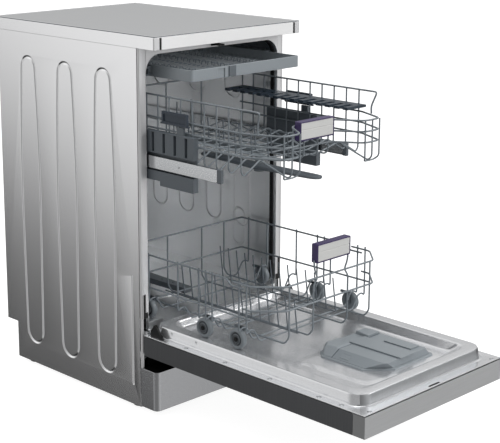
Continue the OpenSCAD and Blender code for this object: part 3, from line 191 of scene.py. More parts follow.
def finish(name, hex_colour, roughness, metallic=0.0, grain=2.5, relief=0.05, spread=0.06, tint=0.04,
           specular=0.5):
    """A surface whose colour, gloss and relief follow one grain, in millimetres, all ways or along X, Y, Z.

    Grain finer than about a millimetre wouldn't show, so paints and mouldings are drawn that coarse."""
    sizes = grain if isinstance(grain, tuple) else (grain, grain, grain)
    made = bpy.data.materials.new(name)
    made.use_nodes = True
    tree = made.node_tree
    shader = tree.nodes["Principled BSDF"]
    shader.inputs["Metallic"].default_value = metallic
    shader.inputs["Specular IOR Level"].default_value = specular
    coords = add(tree, "TexCoord")
    scaled = add(tree, "VectorMath", [(0, coords, "Object")], operation="MULTIPLY")
    scaled.inputs[1].default_value = [1 / (size * MM) for size in sizes]
    noise = add(tree, "TexNoise", [("Vector", scaled, 0)], Scale=1.0, Detail=3.0)
    gloss = add(tree, "MapRange", [("Value", noise, "Fac")], To_Min=roughness - spread,
                To_Max=roughness + spread)
    tree.links.new(gloss.outputs[0], shader.inputs["Roughness"])
    ramp = add(tree, "ValToRGB", [(0, noise, "Fac")])
    for element, position, share in zip(ramp.color_ramp.elements, (0.3, 0.7), (1 - tint, 1 + tint)):
        element.position = position
        element.color = tuple(min(1, c * share) for c in linear(hex_colour)[:3]) + (1,)
    tree.links.new(ramp.outputs[0], shader.inputs["Base Color"])
    bump = add(tree, "Bump", [("Height", noise, "Fac")], Strength=relief, Distance=0.0004)
    tree.links.new(bump.outputs[0], shader.inputs["Normal"])
    return made


def edges(node):
    """Low and high corner of a solid, in millimetres."""
    lo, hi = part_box(node)
    return lo / MM, hi / MM


def soften(piece, width, segments, angle=30):
    """Rounds the edges that are sharper than an angle."""
    soft = piece.modifiers.new("edges", "BEVEL")
    soft.width = width * MM
    soft.segments = segments
    soft.limit_method = "ANGLE"
    soft.angle_limit = math.radians(angle)
    soft.harden_normals = True
    return piece


def even_shading(piece):
    """Lets large flat faces keep their own shading beside small curved ones."""
    shading = piece.modifiers.new("shading", "WEIGHTED_NORMAL")
    shading.keep_sharp = True
    shading.weight = 90
    return piece


def keep_sharp(piece, angle=35):
    sharp = piece.modifiers.new("sharp", "EDGE_SPLIT")
    sharp.split_angle = math.radians(angle)
    return even_shading(piece)


def dress(material, width, *nodes, segments=2):
    """Solids kept as packed, with their finish and softened edges."""
    for piece in [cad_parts[node] for node in nodes]:
        piece.data.materials.clear()
        piece.data.materials.append(material)
        weld = piece.modifiers.new("weld", "WELD")
        weld.merge_threshold = 0.00002
        soften(piece, width, segments)
        for polygon in piece.data.polygons:
            polygon.use_smooth = True
        even_shading(piece)


def place(piece, material, body, slot, *nodes):
    """Gives a new piece its finish and body, and hides the solids that it stands for; the slot is not used.
    """
    piece.data.materials.append(material)
    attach(piece, body)
    if nodes:
        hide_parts(*nodes)
    return piece


def arc(r, start, sweep, n, dx=0, dy=0):
    """Points on an arc about (dx, dy); angles are in degrees."""
    angles = [math.radians(start + sweep * i / n) for i in range(n + 1)]
    return [(dx + r * math.cos(a), dy + r * math.sin(a)) for a in angles]


def ring_shape(half, y0, y1, r, n):
    """Points round a rectangle with round corners, from -half to half across and y0 to y1."""
    x, low, high = half - r, y0 + r, y1 - r
    return (arc(r, 0, 90, n, x, high) + arc(r, 90, 90, n, -x, high) + arc(r, 180, 90, n, -x, low) +
            arc(r, 270, 90, n, x, low))


def skin_faces(rows, count, start=0, closed=True):
    """Faces between rows of points that lie one after the other; a closed row meets itself."""
    return [(start + i * count + k, start + i * count + (k + 1) % count,
             start + (i + 1) * count + (k + 1) % count, start + (i + 1) * count + k)
            for i in range(rows - 1) for k in range(count if closed else count - 1)]


def loft(name, rings, close_first=True, close_last=True, smooth=True):
    """A skin through rings of points that all have the same count."""
    count, last = len(rings[0]), len(rings) - 1
    faces = skin_faces(len(rings), count)
    if close_first:
        faces.append(tuple(range(count - 1, -1, -1)))
    if close_last:
        faces.append(tuple(last * count + k for k in range(count)))
    return flat_mesh(name, [p for ring in rings for p in ring], faces, smooth)


def face_outward(piece, point):
    """Turns all faces the same way, away from a point inside the object."""
    work = bmesh.new()
    work.from_mesh(piece.data)
    bmesh.ops.recalc_face_normals(work, faces=work.faces)
    total = sum((f.calc_center_median() - metres(point)).dot(f.normal) * f.calc_area() for f in work.faces)
    if total < 0:
        bmesh.ops.reverse_faces(work, faces=work.faces)
    work.to_mesh(piece.data)
    work.free()
    piece.data.update()
    return piece


def shell(name, rings, inside, angle=40, first=False, last=False):
    """A smooth skin that faces away from a point, with its sharp edges kept; ends are open unless asked."""
    return keep_sharp(face_outward(loft(name, rings, first, last), inside), angle)


def block(name, corner, opposite, width, material, body, slot, *nodes, segments=3):
    """Places a block between two corners, with rounded edges."""
    (x0, x1), (y0, y1), zs = [sorted(pair) for pair in zip(corner, opposite)]
    points = [(x, y, z) for z in zs for x, y in ((x0, y0), (x1, y0), (x1, y1), (x0, y1))]
    faces = [(3, 2, 1, 0), (4, 5, 6, 7), (0, 1, 5, 4), (1, 2, 6, 5), (2, 3, 7, 6), (3, 0, 4, 7)]
    piece = soften(flat_mesh(name, points, faces, True), width, segments)
    place(piece, material, body, slot, *nodes)


SIDES = ((-1, "left"), (1, "right"))
# Melamine laminate with a very fine printed speckle: matt, even grey
laminate = finish("melamine laminate", "#a8a9aa", 0.50, grain=0.7, relief=0.04, tint=0.03)
# Silver powder paint over pressed sheet: a clear, slightly soft mirror of the room
silver_paint = finish("silver powder paint", "#eeeeef", 0.18, metallic=1.0, grain=1.1, relief=0.03,
                      spread=0.03, tint=0.02)
# Moulded ABS, painted light silver: soft highlights along the lip and the corners
worktop_plastic = finish("silver painted abs", "#d9d9da", 0.38, metallic=0.35, grain=2)
# Moulded ABS left bare in mid grey; along the worktop's top edge it also makes a thin dark line of painted
# shadow
mid_plastic = finish("mid grey moulded plastic", "#5f666c", 0.42, grain=1.4)
# Polished white ABS: the brightest strip on the machine
bright_strip = finish("polished white abs", "#f7f7f7", 0.22, grain=3.3, relief=0.02, tint=0.01)
# Black moulded plastic: reads as a dark joint or hole
black_plastic = finish("black moulded plastic", "#101112", 0.5, specular=0.3, grain=1.7)

dress(laminate, 0.4, "worktop_board")
lo, hi = edges("worktop_frame")
trim_lo, trim_hi = edges("worktop_trim")
trim_deep = trim_hi.y - trim_lo.y
frame_r, corner_w, joint_w, strip_in = 1.5, 15, 0.5, 21
inside_top = (0, 290, hi.z - 15)


def frame_ring(inset, front, z):
    return [(x, y, z) for x, y in ring_shape(hi.x - inset, lo.y + front, hi.y - inset, frame_r, 3)]


def frame_skin(name, material, steps, *nodes):
    rings = [frame_ring(inset, front, z) for inset, front, z in steps]
    place(shell(name, rings, inside_top), material, "cabinet", "worktop_plastic", *nodes)


frame_skin("worktop_frame_body", silver_paint, (
    (9, 12, lo.z), (0.6, trim_deep + 0.6, lo.z), (0, trim_deep, lo.z + 0.6), (0, trim_deep, trim_hi.z),
    (0, 0.2, trim_hi.z), (0, 0, trim_hi.z + 0.2), (0, 0, hi.z - 1.5), (1.2, 1.2, hi.z - 1.4)),
           "worktop_frame")
# A thin mid grey ring along the top edge at the lip, painted as the lip's shadow line
frame_skin("worktop_painted_shadow_line", mid_plastic, (
    (0.3, 0.9, hi.z - 1.5), (0.2, 0.2, hi.z - 0.6), (0.7, 0.7, hi.z), (2.0, 1.4, hi.z),
    (2.4, 1.6, hi.z - 0.6)))
frame_skin("worktop_lip", worktop_plastic, (
    (2.3, 1.5, hi.z - 0.7), (2.8, 2.0, hi.z - 0.1), (6.4, 6, hi.z - 0.1), (7, 6.6, hi.z - 0.8)))
strip_half = hi.x - strip_in
block("worktop_front_strip", (-strip_half, trim_lo.y, trim_lo.z), (strip_half, trim_hi.y, trim_hi.z), 0.8,
      bright_strip, "cabinet", "white_plastic", "worktop_trim")
for side, label in SIDES:
    corner_x = side * (hi.x - corner_w)
    block("worktop_corner_" + label, (side * hi.x, trim_lo.y, trim_lo.z), (corner_x, trim_hi.y, trim_hi.z),
          0.6, worktop_plastic, "cabinet", "worktop_plastic")
    block("worktop_joint_" + label, (corner_x - side * joint_w, trim_lo.y + 1.6, trim_lo.z),
          (side * strip_half, trim_hi.y, trim_hi.z - 0.6), 0.2, black_plastic, "cabinet", "black_plastic")

# Side sheets
# Each is one painted sheet with three pressed loops and a short rib near its front edge, drawn
# as rounded grooves. Front and rear edges are folded inward.
half_w = edges("side_panel_right")[1].x
sheet_lo, sheet_hi = edges("side_panel_left")
step_y = edges("base_tray")[1].y
step_z = edges("back_panel")[0].z - 5
sheet_t = 0.8
rib_low, rib_high = 66, sheet_hi.z - 56
waist, belly, neck = 30, 35, 25
groove, depth = 4.2, 2.1
loop_shares = (0.772, 0.498, 0.228)
short_rib_in, short_rib_low, short_rib_high = 24, 58, 316
front_return, rear_return, return_low = 16, 12, 275


def loop_half(s):
    """Half width of a loop at a share of its height."""
    return waist + (belly - waist) * 2 * s if s < 0.5 else belly - (belly - neck) * (2 * s - 1) ** 2


def loop_points(centre, offset, steps=28, cap=14):
    low, high = rib_low + waist, rib_high - neck
    side = [(loop_half(i / steps) + offset, low + (high - low) * i / steps) for i in range(steps + 1)]
    top = arc(neck + offset, 0, 180, cap, 0, high)[1:-1]
    foot = arc(waist + offset, 180, 180, cap, 0, low)[1:-1]
    return [(centre + x, z) for x, z in side + top + [(-x, z) for x, z in reversed(side)] + foot]


def rib_points(centre, low, high, half):
    return arc(half, 0, 180, 10, centre, high - half) + arc(half, 180, 180, 10, centre, low + half)


def thicken(piece, thickness):
    """Gives a skin the thickness of its sheet, inward."""
    sheet = piece.modifiers.new("sheet", "SOLIDIFY")
    sheet.thickness = thickness * MM
    sheet.offset = -1
    return piece


def side_sheet(name, side):
    """One skin: the grooves' rings, the plain middles of the loops, and the flat sheet round them."""
    pressed = []
    for share in loop_shares:
        centre = sheet_lo.y + (sheet_hi.y - sheet_lo.y) * share
        pressed.append([[(y, z, depth * (1 + math.cos(math.pi * t)) / 2)
                         for y, z in loop_points(centre, groove * t)]
                        for t in [-1 + i / 4 for i in range(9)]])
    rib_y = sheet_lo.y + short_rib_in
    pressed.append([[(y, z, depth * (1 - t * t))
                     for y, z in rib_points(rib_y, short_rib_low, short_rib_high, groove * t)]
                    for t in (0.15, 0.5, 0.8, 1)])
    points, faces, middles, holes = [], [], [], []
    for rings in pressed:
        start, count = len(points), len(rings[0])
        points += [p for ring in rings for p in ring]
        faces += skin_faces(len(rings), count, start)
        middles.append(tuple(range(start, start + count)))
        holes.append(list(range(len(points) - count, len(points))))
    outline = [(sheet_lo.y, sheet_lo.z), (step_y, sheet_lo.z), (step_y, step_z), (sheet_hi.y, step_z),
               (sheet_hi.y, sheet_hi.z), (sheet_lo.y, sheet_hi.z)]
    border = list(range(len(points), len(points) + len(outline)))
    points += [(y, z, 0) for y, z in outline]
    order = [i for loop in [border] + holes for i in loop]
    flat = [[Vector((points[i][0], points[i][1], 0)) for i in loop] for loop in [border] + holes]
    faces += [tuple(order[i] for i in tri) for tri in tessellate_polygon(flat)]
    made = flat_mesh(name, [(side * (half_w - d), y, z) for y, z, d in points], faces + middles, True)
    return keep_sharp(thicken(made, sheet_t), 50)


for side, label in SIDES:
    node = "side_panel_" + label
    sheet = face_outward(side_sheet(node + "_sheet", side), (0, 300, 400))
    place(sheet, silver_paint, "cabinet", "painted_side", node)
    x = side * half_w
    for end, reach, y, z in (("_front_return", front_return, sheet_lo.y, return_low),
                             ("_rear_return", rear_return, sheet_hi.y - sheet_t, step_z)):
        block(node + end, (x, y, z), (x - side * reach, y + sheet_t, sheet_hi.z), 0.3, silver_paint,
              "cabinet", "painted_side", segments=2)

# Back sheet
# A galvanised sheet screwed over the back, with three pressed stiffening lines. It ends above the
# base, where the pumps and the valve stay within reach.
# Hot dipped zinc on steel: dull, with cloudy patches a few centimetres wide
galvanised = finish("galvanised sheet", "#a9adb0", 0.45, metallic=0.9, grain=29, spread=0.12,
                    tint=0.12)
dress(galvanised, 0.4, "back_panel")

# Base tray and feet
# A moulded black tray that everything stands on. Four levelling feet are screwed into it from
# below.
# Matt black polypropylene with no gloss: the base tray's own colour, and painted shade on the board in the
# gap over the kick plate
matt_black = finish("matt black polypropylene", "#090909", 0.85, grain=2, specular=0.1)
dress(matt_black, 0.8, "base_tray")
dress(black_plastic, 0.8, "levelling_feet")

# What stands in the base
# Two pumps, the water softener and the inlet valve. They are plain mouldings that stand in the
# base tray, seen from behind and below.
# Glass filled polypropylene, almost black with a touch of blue
dark_plastic = finish("dark slate moulded plastic", "#2c3844", 0.38, grain=1.7)
# Unpainted polypropylene, a warm white
white_plastic = finish("white moulded plastic", "#dcdcd8", 0.45, grain=2, relief=0.04)
dress(dark_plastic, 0.8, "circulation_pump", "drain_pump")
dress(white_plastic, 0.8, "water_softener")
dress(white_plastic, 0.6, "inlet_valve")

# Kick plate
# A painted sheet bent into a U with rounded front corners, under a black board that fills the gap to
# the door as painted shade.
# Grey powder paint on rolled sheet: mirrors the floor's far edge softly
kick_paint = finish("grey powder paint", "#a8a9ab", 0.26, metallic=1.0, grain=1.1, relief=0.03,
                    spread=0.05, tint=0.03)
lo, hi = edges("plinth")
plinth_r = 12


def plinth_ring(inset, z, n=8):
    left = [(lo.x + inset, hi.y)] + arc(plinth_r - inset, 180, 90, n, lo.x + plinth_r, lo.y + plinth_r)
    return [(x, y, z) for x, y in left + [(-x, y) for x, y in reversed(left)]]


rings = [plinth_ring(inset, z) for inset, z in (
    (1.5, lo.z + 1), (0.3, lo.z), (0, lo.z + 0.6), (0, hi.z - 1.2), (0.4, hi.z - 0.2), (1.2, hi.z),
    (1.8, hi.z - 0.8), (1.8, hi.z - 4))]
kick = flat_mesh("kick_plate", [p for ring in rings for p in ring],
                 skin_faces(len(rings), len(rings[0]), closed=False), True)
place(keep_sharp(face_outward(kick, (0, 40, 60)), 50), kick_paint, "cabinet", "painted_side", "plinth")
# A black board over the plinth's opening, painted shade in the gap under the door
board = loft("kick_shade_board", [plinth_ring(1.9, hi.z - 6), plinth_ring(1.9, hi.z - 1.6)], smooth=False)
place(face_outward(board, (0, 40, hi.z - 4)), matt_black, "cabinet", "black_plastic")

# Tub
# A liner drawn and welded from thin stainless sheet, with oval beads pressed into its walls, a
# rubber seal in its rim and the plastic strike that the door's latch catches.
# Bright annealed stainless: smooth, a soft mirror with hardly any grain
stainless = finish("bright annealed stainless", "#f4f5f6", 0.33, metallic=1.0, grain=40, relief=0.0005,
                   spread=0.02, tint=0.01)
# Extruded rubber: dull and slightly rough
rubber = finish("extruded rubber", "#141414", 0.6, grain=4, relief=0.08)
dress(stainless, 0.5, "tub")
dress(rubber, 0.5, "door_seal")
dress(black_plastic, 0.6, "latch_strike")
# The rails are screwed to the walls, so their outer faces lie on them
wall_x = edges("upper_fixed_rails")[1].x
bead_rise, bead_half = 1.8, 3
tub_beads = [(y, 430, 26, 95) for y in (170, 270, 370, 470)] + [(180, 330, 20, 46)]
tub_beads += [(y, 690, 30, 40) for y in (200, 330, 460)]


def pressed_oval(name, y, z, half_y, half_z, side):
    """A raised oval bead on a side wall of the tub."""
    rings = []
    for t in [i / 6 for i in range(7)]:
        grow = bead_half * (2 * t - 1)
        half, tall = half_y + grow, half_z + grow
        x = side * (wall_x - 0.05 - bead_rise * math.sin(math.pi * t))
        outline = ring_shape(half, -tall, tall, half - 0.5, 6)
        rings.append([(x, y + along_y, z + up) for along_y, up in outline])
    return face_outward(loft(name, rings, False, False), (side * 400, 300, z))


for side, label in SIDES:
    for i, (y, z, half_y, half_z) in enumerate(tub_beads):
        oval = pressed_oval(f"tub_bead_{label}_{i}", y, z, half_y, half_z, side)
        place(oval, stainless, "cabinet", "stainless")

# Front flange of the tub
# The tub's rim, folded out and back over the side sheets. It is slotted at the foot for the
# hinge arms, with a gusset in each lower corner, and cut as an arch over the opening.
# Satin rolled stainless: pale, spreading its highlights along the sheet
flange_steel = finish("satin rolled stainless", "#dfdfe0", 0.38, metallic=0.55, grain=(1.7, 1.7, 25),
                      relief=0.03, tint=0.03)
# The same steel where it lies in the machine's own shade
mid_steel = finish("stainless in shade", "#86888a", 0.35, metallic=0.8, grain=5, relief=0.03)
flange_y = edges("tub")[0].y
slot_z, under = 276, edges("worktop_frame")[0].z - 1
foot_z, heel_z = 106, 233
fold_back, gusset_t, flange_t = 0.7, 0.8, 0.6
arch_x, arch_r, arch_low = 204.2, 38.2, 767
edge_fold = [(223.9, 4), (223.4, 1.4), (222, 0.2), (219.4, -0.7), (214, -0.9), (206, -0.9), (204.6, -0.6),
             (204.1, 0.2)]
heel_fold = [(211.6, 0.4), (211.4, -0.5), (206, -0.9), (204.3, -0.6)]
bead_fold = [(212.4, -0.2), (211.6, -0.9), (210.9, -0.2)]
gusset_shape = [(211.5, 233), (204.4, 226), (196, 209), (180, 203), (180, 192), (211.5, 192)]


def folded_strip(name, side, face, z0, z1):
    """A strip of flange between two heights, from (x, step in y) points of its outer face."""
    front = [(side * x, flange_y + y) for x, y in face]
    outline = front + [(x, y + fold_back) for x, y in reversed(front)]
    rings = [[(x, y, z) for x, y in outline] for z in (z0, z1)]
    inside = (sum(x for x, _ in front) / len(front), flange_y + 20, (z0 + z1) / 2)
    place(shell(name, rings, inside, 60, True, True), flange_steel, "cabinet", "stainless")


for side, label in SIDES:
    folded_strip("flange_" + label, side, edge_fold, slot_z, under)
    folded_strip("flange_foot_" + label, side, edge_fold[:4], foot_z, slot_z)
    folded_strip("flange_heel_" + label, side, heel_fold, heel_z, slot_z)
    rings = [[(side * x, flange_y + y, z) for x, z in gusset_shape] for y in (0.4, 0.4 + gusset_t)]
    gusset = loft("flange_gusset_" + label, rings, smooth=False)
    gusset = soften(face_outward(gusset, (side * 200, flange_y + 30, 210)), 0.3, 4, 12)
    place(gusset, mid_steel, "cabinet", "stainless")
    folded_strip("flange_bead_" + label, side, bead_fold, heel_z, slot_z)
arch = [(-arch_x, arch_low - 2)] + arc(arch_r, 180, -90, 9, arch_r - arch_x, arch_low)
arch += [(-x, z) for x, z in reversed(arch)] + [(arch_x, under), (-arch_x, under)]
top_flange = flat_mesh("flange_top", [(x, flange_y - 0.8, z) for x, z in arch],
                       [tuple(t) for t in tessellate_polygon([[Vector((x, z, 0)) for x, z in arch]])])
top_flange = keep_sharp(face_outward(thicken(top_flange, flange_t), (0, flange_y + 50, 800)), 50)
place(top_flange, flange_steel, "cabinet", "stainless")

# Water works in the tub
# Sump, filter cup and plate, salt cap, and the pipe that feeds the arm under the ceiling. The
# two arms turn freely on their hubs.
# Polypropylene with talc: mid grey and satin
grey_plastic = finish("grey moulded plastic", "#7d8489", 0.42, grain=1.4)
# The same plastic dyed slate blue, which marks what is turned or pressed by hand
blue_plastic = finish("blue slate moulded plastic", "#333d49", 0.40, grain=1.7)
dress(grey_plastic, 0.6, "sump", "feed_pipe")
dress(grey_plastic, 0.5, "filter_cup")
dress(stainless, 0.3, "filter_plate")
dress(blue_plastic, 0.5, "salt_cap")
dress(mid_plastic, 2.0, "lower_spray_arm", "ceiling_spray_arm", segments=3)


# Rails
# Two telescopic steel rails for the upper rack, with moulded caps on the moving part, and two
# moulded channels for the top tray.
def lathe(name, profile, centre, side, n, inside_x, angle=40):
    """A ring turned about the X axis, from (distance out, radius) pairs, facing away from inside_x."""
    x, y, z = centre
    rings = [[(x + side * out, py, pz) for py, pz in arc(r, 0, 360, n, y, z)[:-1]] for out, r in profile]
    return shell(name, rings, (inside_x, y, z), angle)


# Zinc plated steel: bright and a little streaked along the rolling
zinc = finish("bright zinc plate", "#cfd1d3", 0.26, metallic=1.0, grain=(50, 2, 2), relief=0.03, tint=0.04)
dress(zinc, 0.4, "upper_fixed_rails")
dress(zinc, 0.5, "upper_sliding_rails")
dress(mid_plastic, 1.2, "rail_end_caps", segments=3)
dress(mid_plastic, 0.6, "tray_rails")
rail_lo, rail_hi = edges("upper_sliding_rails")
rail_hole_y = -43
for side, label in SIDES:
    hole = lathe("rail_hole_" + label, [(-0.5, 2.6), (0.03, 2.4), (0.03, 1.6), (-0.6, 1.2), (-0.6, 0.1)],
                 (side * rail_hi.x, rail_hole_y, (rail_lo.z + rail_hi.z) / 2), side, 20, side * 100, 180)
    place(hole, black_plastic, "sliding_rails", "black_plastic")


# Lower rack
# Steel wire, bent, welded where it crosses and dipped in nylon: hoops across, rims round them
# and two floor runs that rise into the handle. The front corners are cut off like the door pan.
def bend(points, r, n=5):
    """The path with each corner rounded to about r, as a wire bender leaves it."""
    path = [Vector(p) for p in points]
    made = [path[0]]
    for coming, corner, going in zip(path, path[1:], path[2:]):
        back, on = coming - corner, going - corner
        reach = min(r, back.length * 0.48, on.length * 0.48)
        a, b = corner + back.normalized() * reach, corner + on.normalized() * reach
        for t in [i / n for i in range(n + 1)]:
            made.append(a * (1 - t) ** 2 + corner * 2 * t * (1 - t) + b * t * t)
    made.append(path[-1])
    return made


def wires(name, paths, r, bend_r=8):
    """One object of round wires along several paths."""
    data = bpy.data.curves.new(name, "CURVE")
    data.dimensions = "3D"
    data.bevel_depth = r * MM
    data.bevel_resolution = 3
    data.use_fill_caps = True
    for path in [bend(points, bend_r) for points in paths]:
        spline = data.splines.new("POLY")
        spline.points.add(len(path) - 1)
        for target, p in zip(spline.points, path):
            target.co = (*metres(p), 1)
    made = bpy.data.objects.new(name, data)
    scene.collection.objects.link(made)
    return made


def coated(name, paths, r, bend_r, body, *nodes):
    place(wires(name, paths, r, bend_r), nylon_coat, body, "coated_wire", *nodes)


def mirrored(paths):
    return paths + [[(-x, y, z) for x, y, z in path] for path in paths]


def across(half_path):
    """A wire that runs from one side to the other, from its left half."""
    return half_path + [(-x, y, z) for x, y, z in reversed(half_path)]


# Nylon powder melted onto wire: mid grey with a soft shine and a faint orange peel
nylon_coat = finish("nylon coated wire", "#7d858b", 0.34, grain=2.9, relief=0.04, specular=0.6)
lo, hi = edges("lower_rack_wires")
wire_r, thin_r = 2.0, 1.5
hoop_r = wire_r * 0.94
lr_half = hi.x - wire_r
rack_front, rack_rear = lo.y + wire_r, hi.y - wire_r
rack_len = rack_rear - rack_front
lr_top, lr_floor = 359, lo.z + wire_r
mid_z, low_z, front_z = lr_top - 55, lr_top - 75, lr_top - 3
nose_x, corner_y = lr_half - 50, rack_front + 51
rim_y, dip_y, dip = rack_front + 123, rack_front + 74, 12
knee = 257.5
hoop_shares = (0.141, 0.189, 0.365, 0.409, 0.455, 0.6, 0.809, 0.947)
long_x, carrier_x = lr_half * 0.68, 55


def front_wrap(z, start):
    """A wire round the rack's front, over both cut corners."""
    return across([(-lr_half, start, z), (-lr_half, corner_y, z), (-nose_x, rack_front, z)])


def lower_hoop(y):
    return across([(-lr_half, y, lr_top + 4), (-lr_half, y, lr_floor + 24), (-lr_half + 9.6, y, knee),
                   (-168, y, knee - 2), (-150, y, lr_floor)])


def floor_run(x):
    """A wire along the floor that turns up at both ends."""
    return [(x, rack_front, lr_floor + 18), (x, rack_front + 12, lr_floor + 2),
            (x, rack_rear - 12, lr_floor + 2), (x, rack_rear, lr_floor + 16), (x, rack_rear, lr_top)]


rims = [across([(-lr_half, rim_y, lr_top), (-lr_half, rack_rear, lr_top)]),
        across([(-lr_half, corner_y, low_z), (-lr_half, rack_rear, low_z)]),
        front_wrap(front_z, rack_front + 104), front_wrap(mid_z, dip_y)]
dips = mirrored([[(-lr_half, rim_y + 17, lr_top), (-lr_half, rim_y, lr_top),
                  (-lr_half, rim_y - 14, lr_top - dip), (-lr_half, dip_y, lr_top - dip)]])
runs = mirrored([[(-long_x, rack_front, front_z)] + floor_run(-long_x)])
carriers = mirrored([[(-carrier_x, rack_front, lr_top + 36), (-carrier_x + 3, rack_front, lr_top + 14),
                      (-carrier_x + 12, rack_front, lr_top - 2), (-carrier_x, rack_front, lr_top - 18)] +
                     floor_run(-carrier_x)])
hoops = [lower_hoop(rack_front + rack_len * share) for share in hoop_shares]
coated("lower_rack_rims", rims, wire_r, 9, "lower_rack", "lower_rack_wires")
coated("lower_rack_dips", dips, wire_r, 5, "lower_rack")
coated("lower_rack_hoops", hoops, hoop_r, 7, "lower_rack")
coated("lower_rack_runs", runs + carriers, hoop_r, 7, "lower_rack")

# Tines
# Thinner wires that stand on a rod, leaning back a little. The left row is welded in, and the
# right one turns on its rod and folds down.
# The same nylon, which lies thinner and darker on thin wire
tine_coat = finish("nylon coated tine", "#666e75", 0.34, grain=2.9, relief=0.04, specular=0.6)
tine_lo, tine_hi = edges("folding_tines")
tine_x, tine_z = (tine_lo.x + tine_hi.x) / 2, tine_lo.z + thin_r
tine_count, tine_pitch, tine_tall, tine_lean = 14, 27, 75, 10


def tine_row(x, z, rod_end):
    """Tines on their rod."""
    feet = [(x, rack_front + 38 + tine_pitch * i, z) for i in range(tine_count)]
    tines = [[(x, y, z), (x, y + tine_lean, z + tine_tall)] for x, y, z in feet]
    return tines + [[(x, rack_front + 36, z), (x, rod_end, z)]]


place(wires("lower_rack_tines", tine_row(-tine_x, lr_floor + 2, rack_rear), thin_r), tine_coat, "lower_rack",
      "coated_wire")
place(wires("folding_tine_row", tine_row(tine_x, tine_z, rack_rear - 16), thin_r), tine_coat, "tine_row",
      "coated_wire", "folding_tines")

# Wheels
# Moulded in one piece with a round tread, a recessed web painted darker as shade, and a hub that
# snaps onto a pin. Black clips close the hubs, and grey brackets hold the front and middle pins to the wires.
# The wheels' plastic darkened as painted shade, for the recess round the hub
recess_shade_plastic = finish("grey plastic with painted recess shade", "#3d4247", 0.42, grain=1.4)
wheel_w, pin_r = 14.5, 3.6
bracket_x0, bracket_x1 = 168, 173


def wheel_pair(node, body):
    low, high = edges(node)
    r, out_x = (high.z - low.z) / 2, high.x
    y, z = (low.y + high.y) / 2, (low.z + high.z) / 2
    tread = [(-wheel_w, r - 4), (-wheel_w + 0.6, r - 2.5), (-wheel_w + 2.5, r - 0.4), (-wheel_w + 5, r),
             (-5, r), (-2.5, r - 0.5), (-0.7, r - 2.2), (0, r - 4.5)]
    recess = [(-0.6, r - 6), (-3.4, r - 7), (-3.8, r - 8.5), (-3.8, 12)]
    hub = [(-1.2, 11), (-0.4, 10), (-0.4, 6.8), (-1.5, 6.2), (-1.5, pin_r), (-wheel_w, pin_r),
           (-wheel_w, r - 4)]
    web = [(-3.2, r - 7.4), (-3.3, 12.2), (-1.0, 10.8), (-0.2, 9.6), (-0.2, 7.2), (-1.2, 6.4), (-1.2, 4)]
    for side, label in SIDES:
        wheel = lathe(f"{node}_{label}", tread + recess + hub, (side * out_x, y, z), side, 48,
                      side * (out_x - wheel_w / 2), 50)
        place(wheel, grey_plastic, body, "grey_plastic", *([node] if side < 0 else []))
        # The web and hub take the darker plastic as painted shade in the recess
        disc = lathe(f"{node}_web_{label}", web, (side * out_x, y, z), side, 48, side * (out_x - 40))
        place(disc, recess_shade_plastic, body, "grey_plastic")


def axle_fittings(node, body):
    """The dark clip in each wheel's face, and the bracket and bar that hold its pin."""
    low, high = edges(node)
    y, z = (low.y + high.y) / 2, (low.z + high.z) / 2
    for side, label in SIDES:
        cap = lathe(f"{node}_clip_{label}", [(0, 0.1), (0, 3.2), (-0.4, 4.6), (-1, 5.2), (-2.4, 5.2)],
                    (side * (high.x + 1.9), y, z), side, 24, side * 150)
        place(cap, black_plastic, body, "black_plastic")
        for part, y0, y1, z0 in (("bracket", y - 6.5, y + 6.5, z - 5),
                                 ("clip_bar", y - 14, y + 20, knee - 7)):
            block(f"{node}_{part}_{label}", (side * bracket_x0, y0, z0), (side * bracket_x1, y1, knee - 1),
                  1.5, mid_plastic, "lower_rack", "grey_plastic")


wheel_pair("front_wheels", "wheels_front")
wheel_pair("middle_wheels", "wheels_middle")
wheel_pair("rear_wheels", "wheels_rear")
dress(zinc, 0.4, "rear_axle_pins")
axle_fittings("front_wheels", "lower_rack")
axle_fittings("middle_wheels", "lower_rack")
axle_fittings("rear_wheels", "rear_axle")

# Handles
# A deep coloured frame clipped over the rack's front wires, with a pale plate pressed into its
# front that one groove splits in two.
# Dyed ABS: deep purple with a satin skin
purple_plastic = finish("purple moulded abs", "#38295a", 0.36, grain=1.7, relief=0.04)
# Painted ABS: pale warm grey, even and satin
plate_plastic = finish("pale grip plate", "#d2d2d0", 0.35, grain=2.5, relief=0.03, tint=0.02)


def rack_handle(node, body):
    low, high = edges(node)
    w, h = high.x - low.x, high.z - low.z
    cx, cz = (low.x + high.x) / 2, (low.z + high.z) / 2
    sections = [(high.y, 4.5, 1), (high.y, 0.8, 2), (high.y - 0.8, 0, 2.5), (low.y + 1.2, 0, 2.5),
                (low.y + 0.3, 0.5, 2.2), (low.y, 1.4, 1.6), (low.y, 2.6, 1.2), (low.y + 1.6, 2.8, 1.2),
                (low.y + 2.8, 3.4, 1.2), (high.y - 0.4, 4.5, 1)]
    rings = []
    for y, inset, r in sections:
        outline = ring_shape(w / 2 - inset, -h / 2 + inset, h / 2 - inset, r, 5)
        rings.append([(cx + px, y, cz + pz) for px, pz in outline])
    grip = shell(node + "_frame", rings, (cx, (low.y + high.y) / 2, cz), 30)
    place(grip, purple_plastic, body, "purple_plastic", node)
    for part, y, z0, z1, width in (("plate_low", 0.5, low.z + 3, cz + 2.2, 0.8),
                                   ("plate_high", 0.5, cz + 3.4, high.z - 3, 0.8),
                                   ("groove", 1.2, cz + 1.6, cz + 4, 0.3)):
        block(f"{node}_{part}", (low.x + 3, low.y + y, z0), (high.x - 3, low.y + 3, z1), width,
              plate_plastic, body, "light_grey_plastic")


rack_handle("lower_handle", "lower_rack")
rack_handle("upper_handle", "upper_rack")

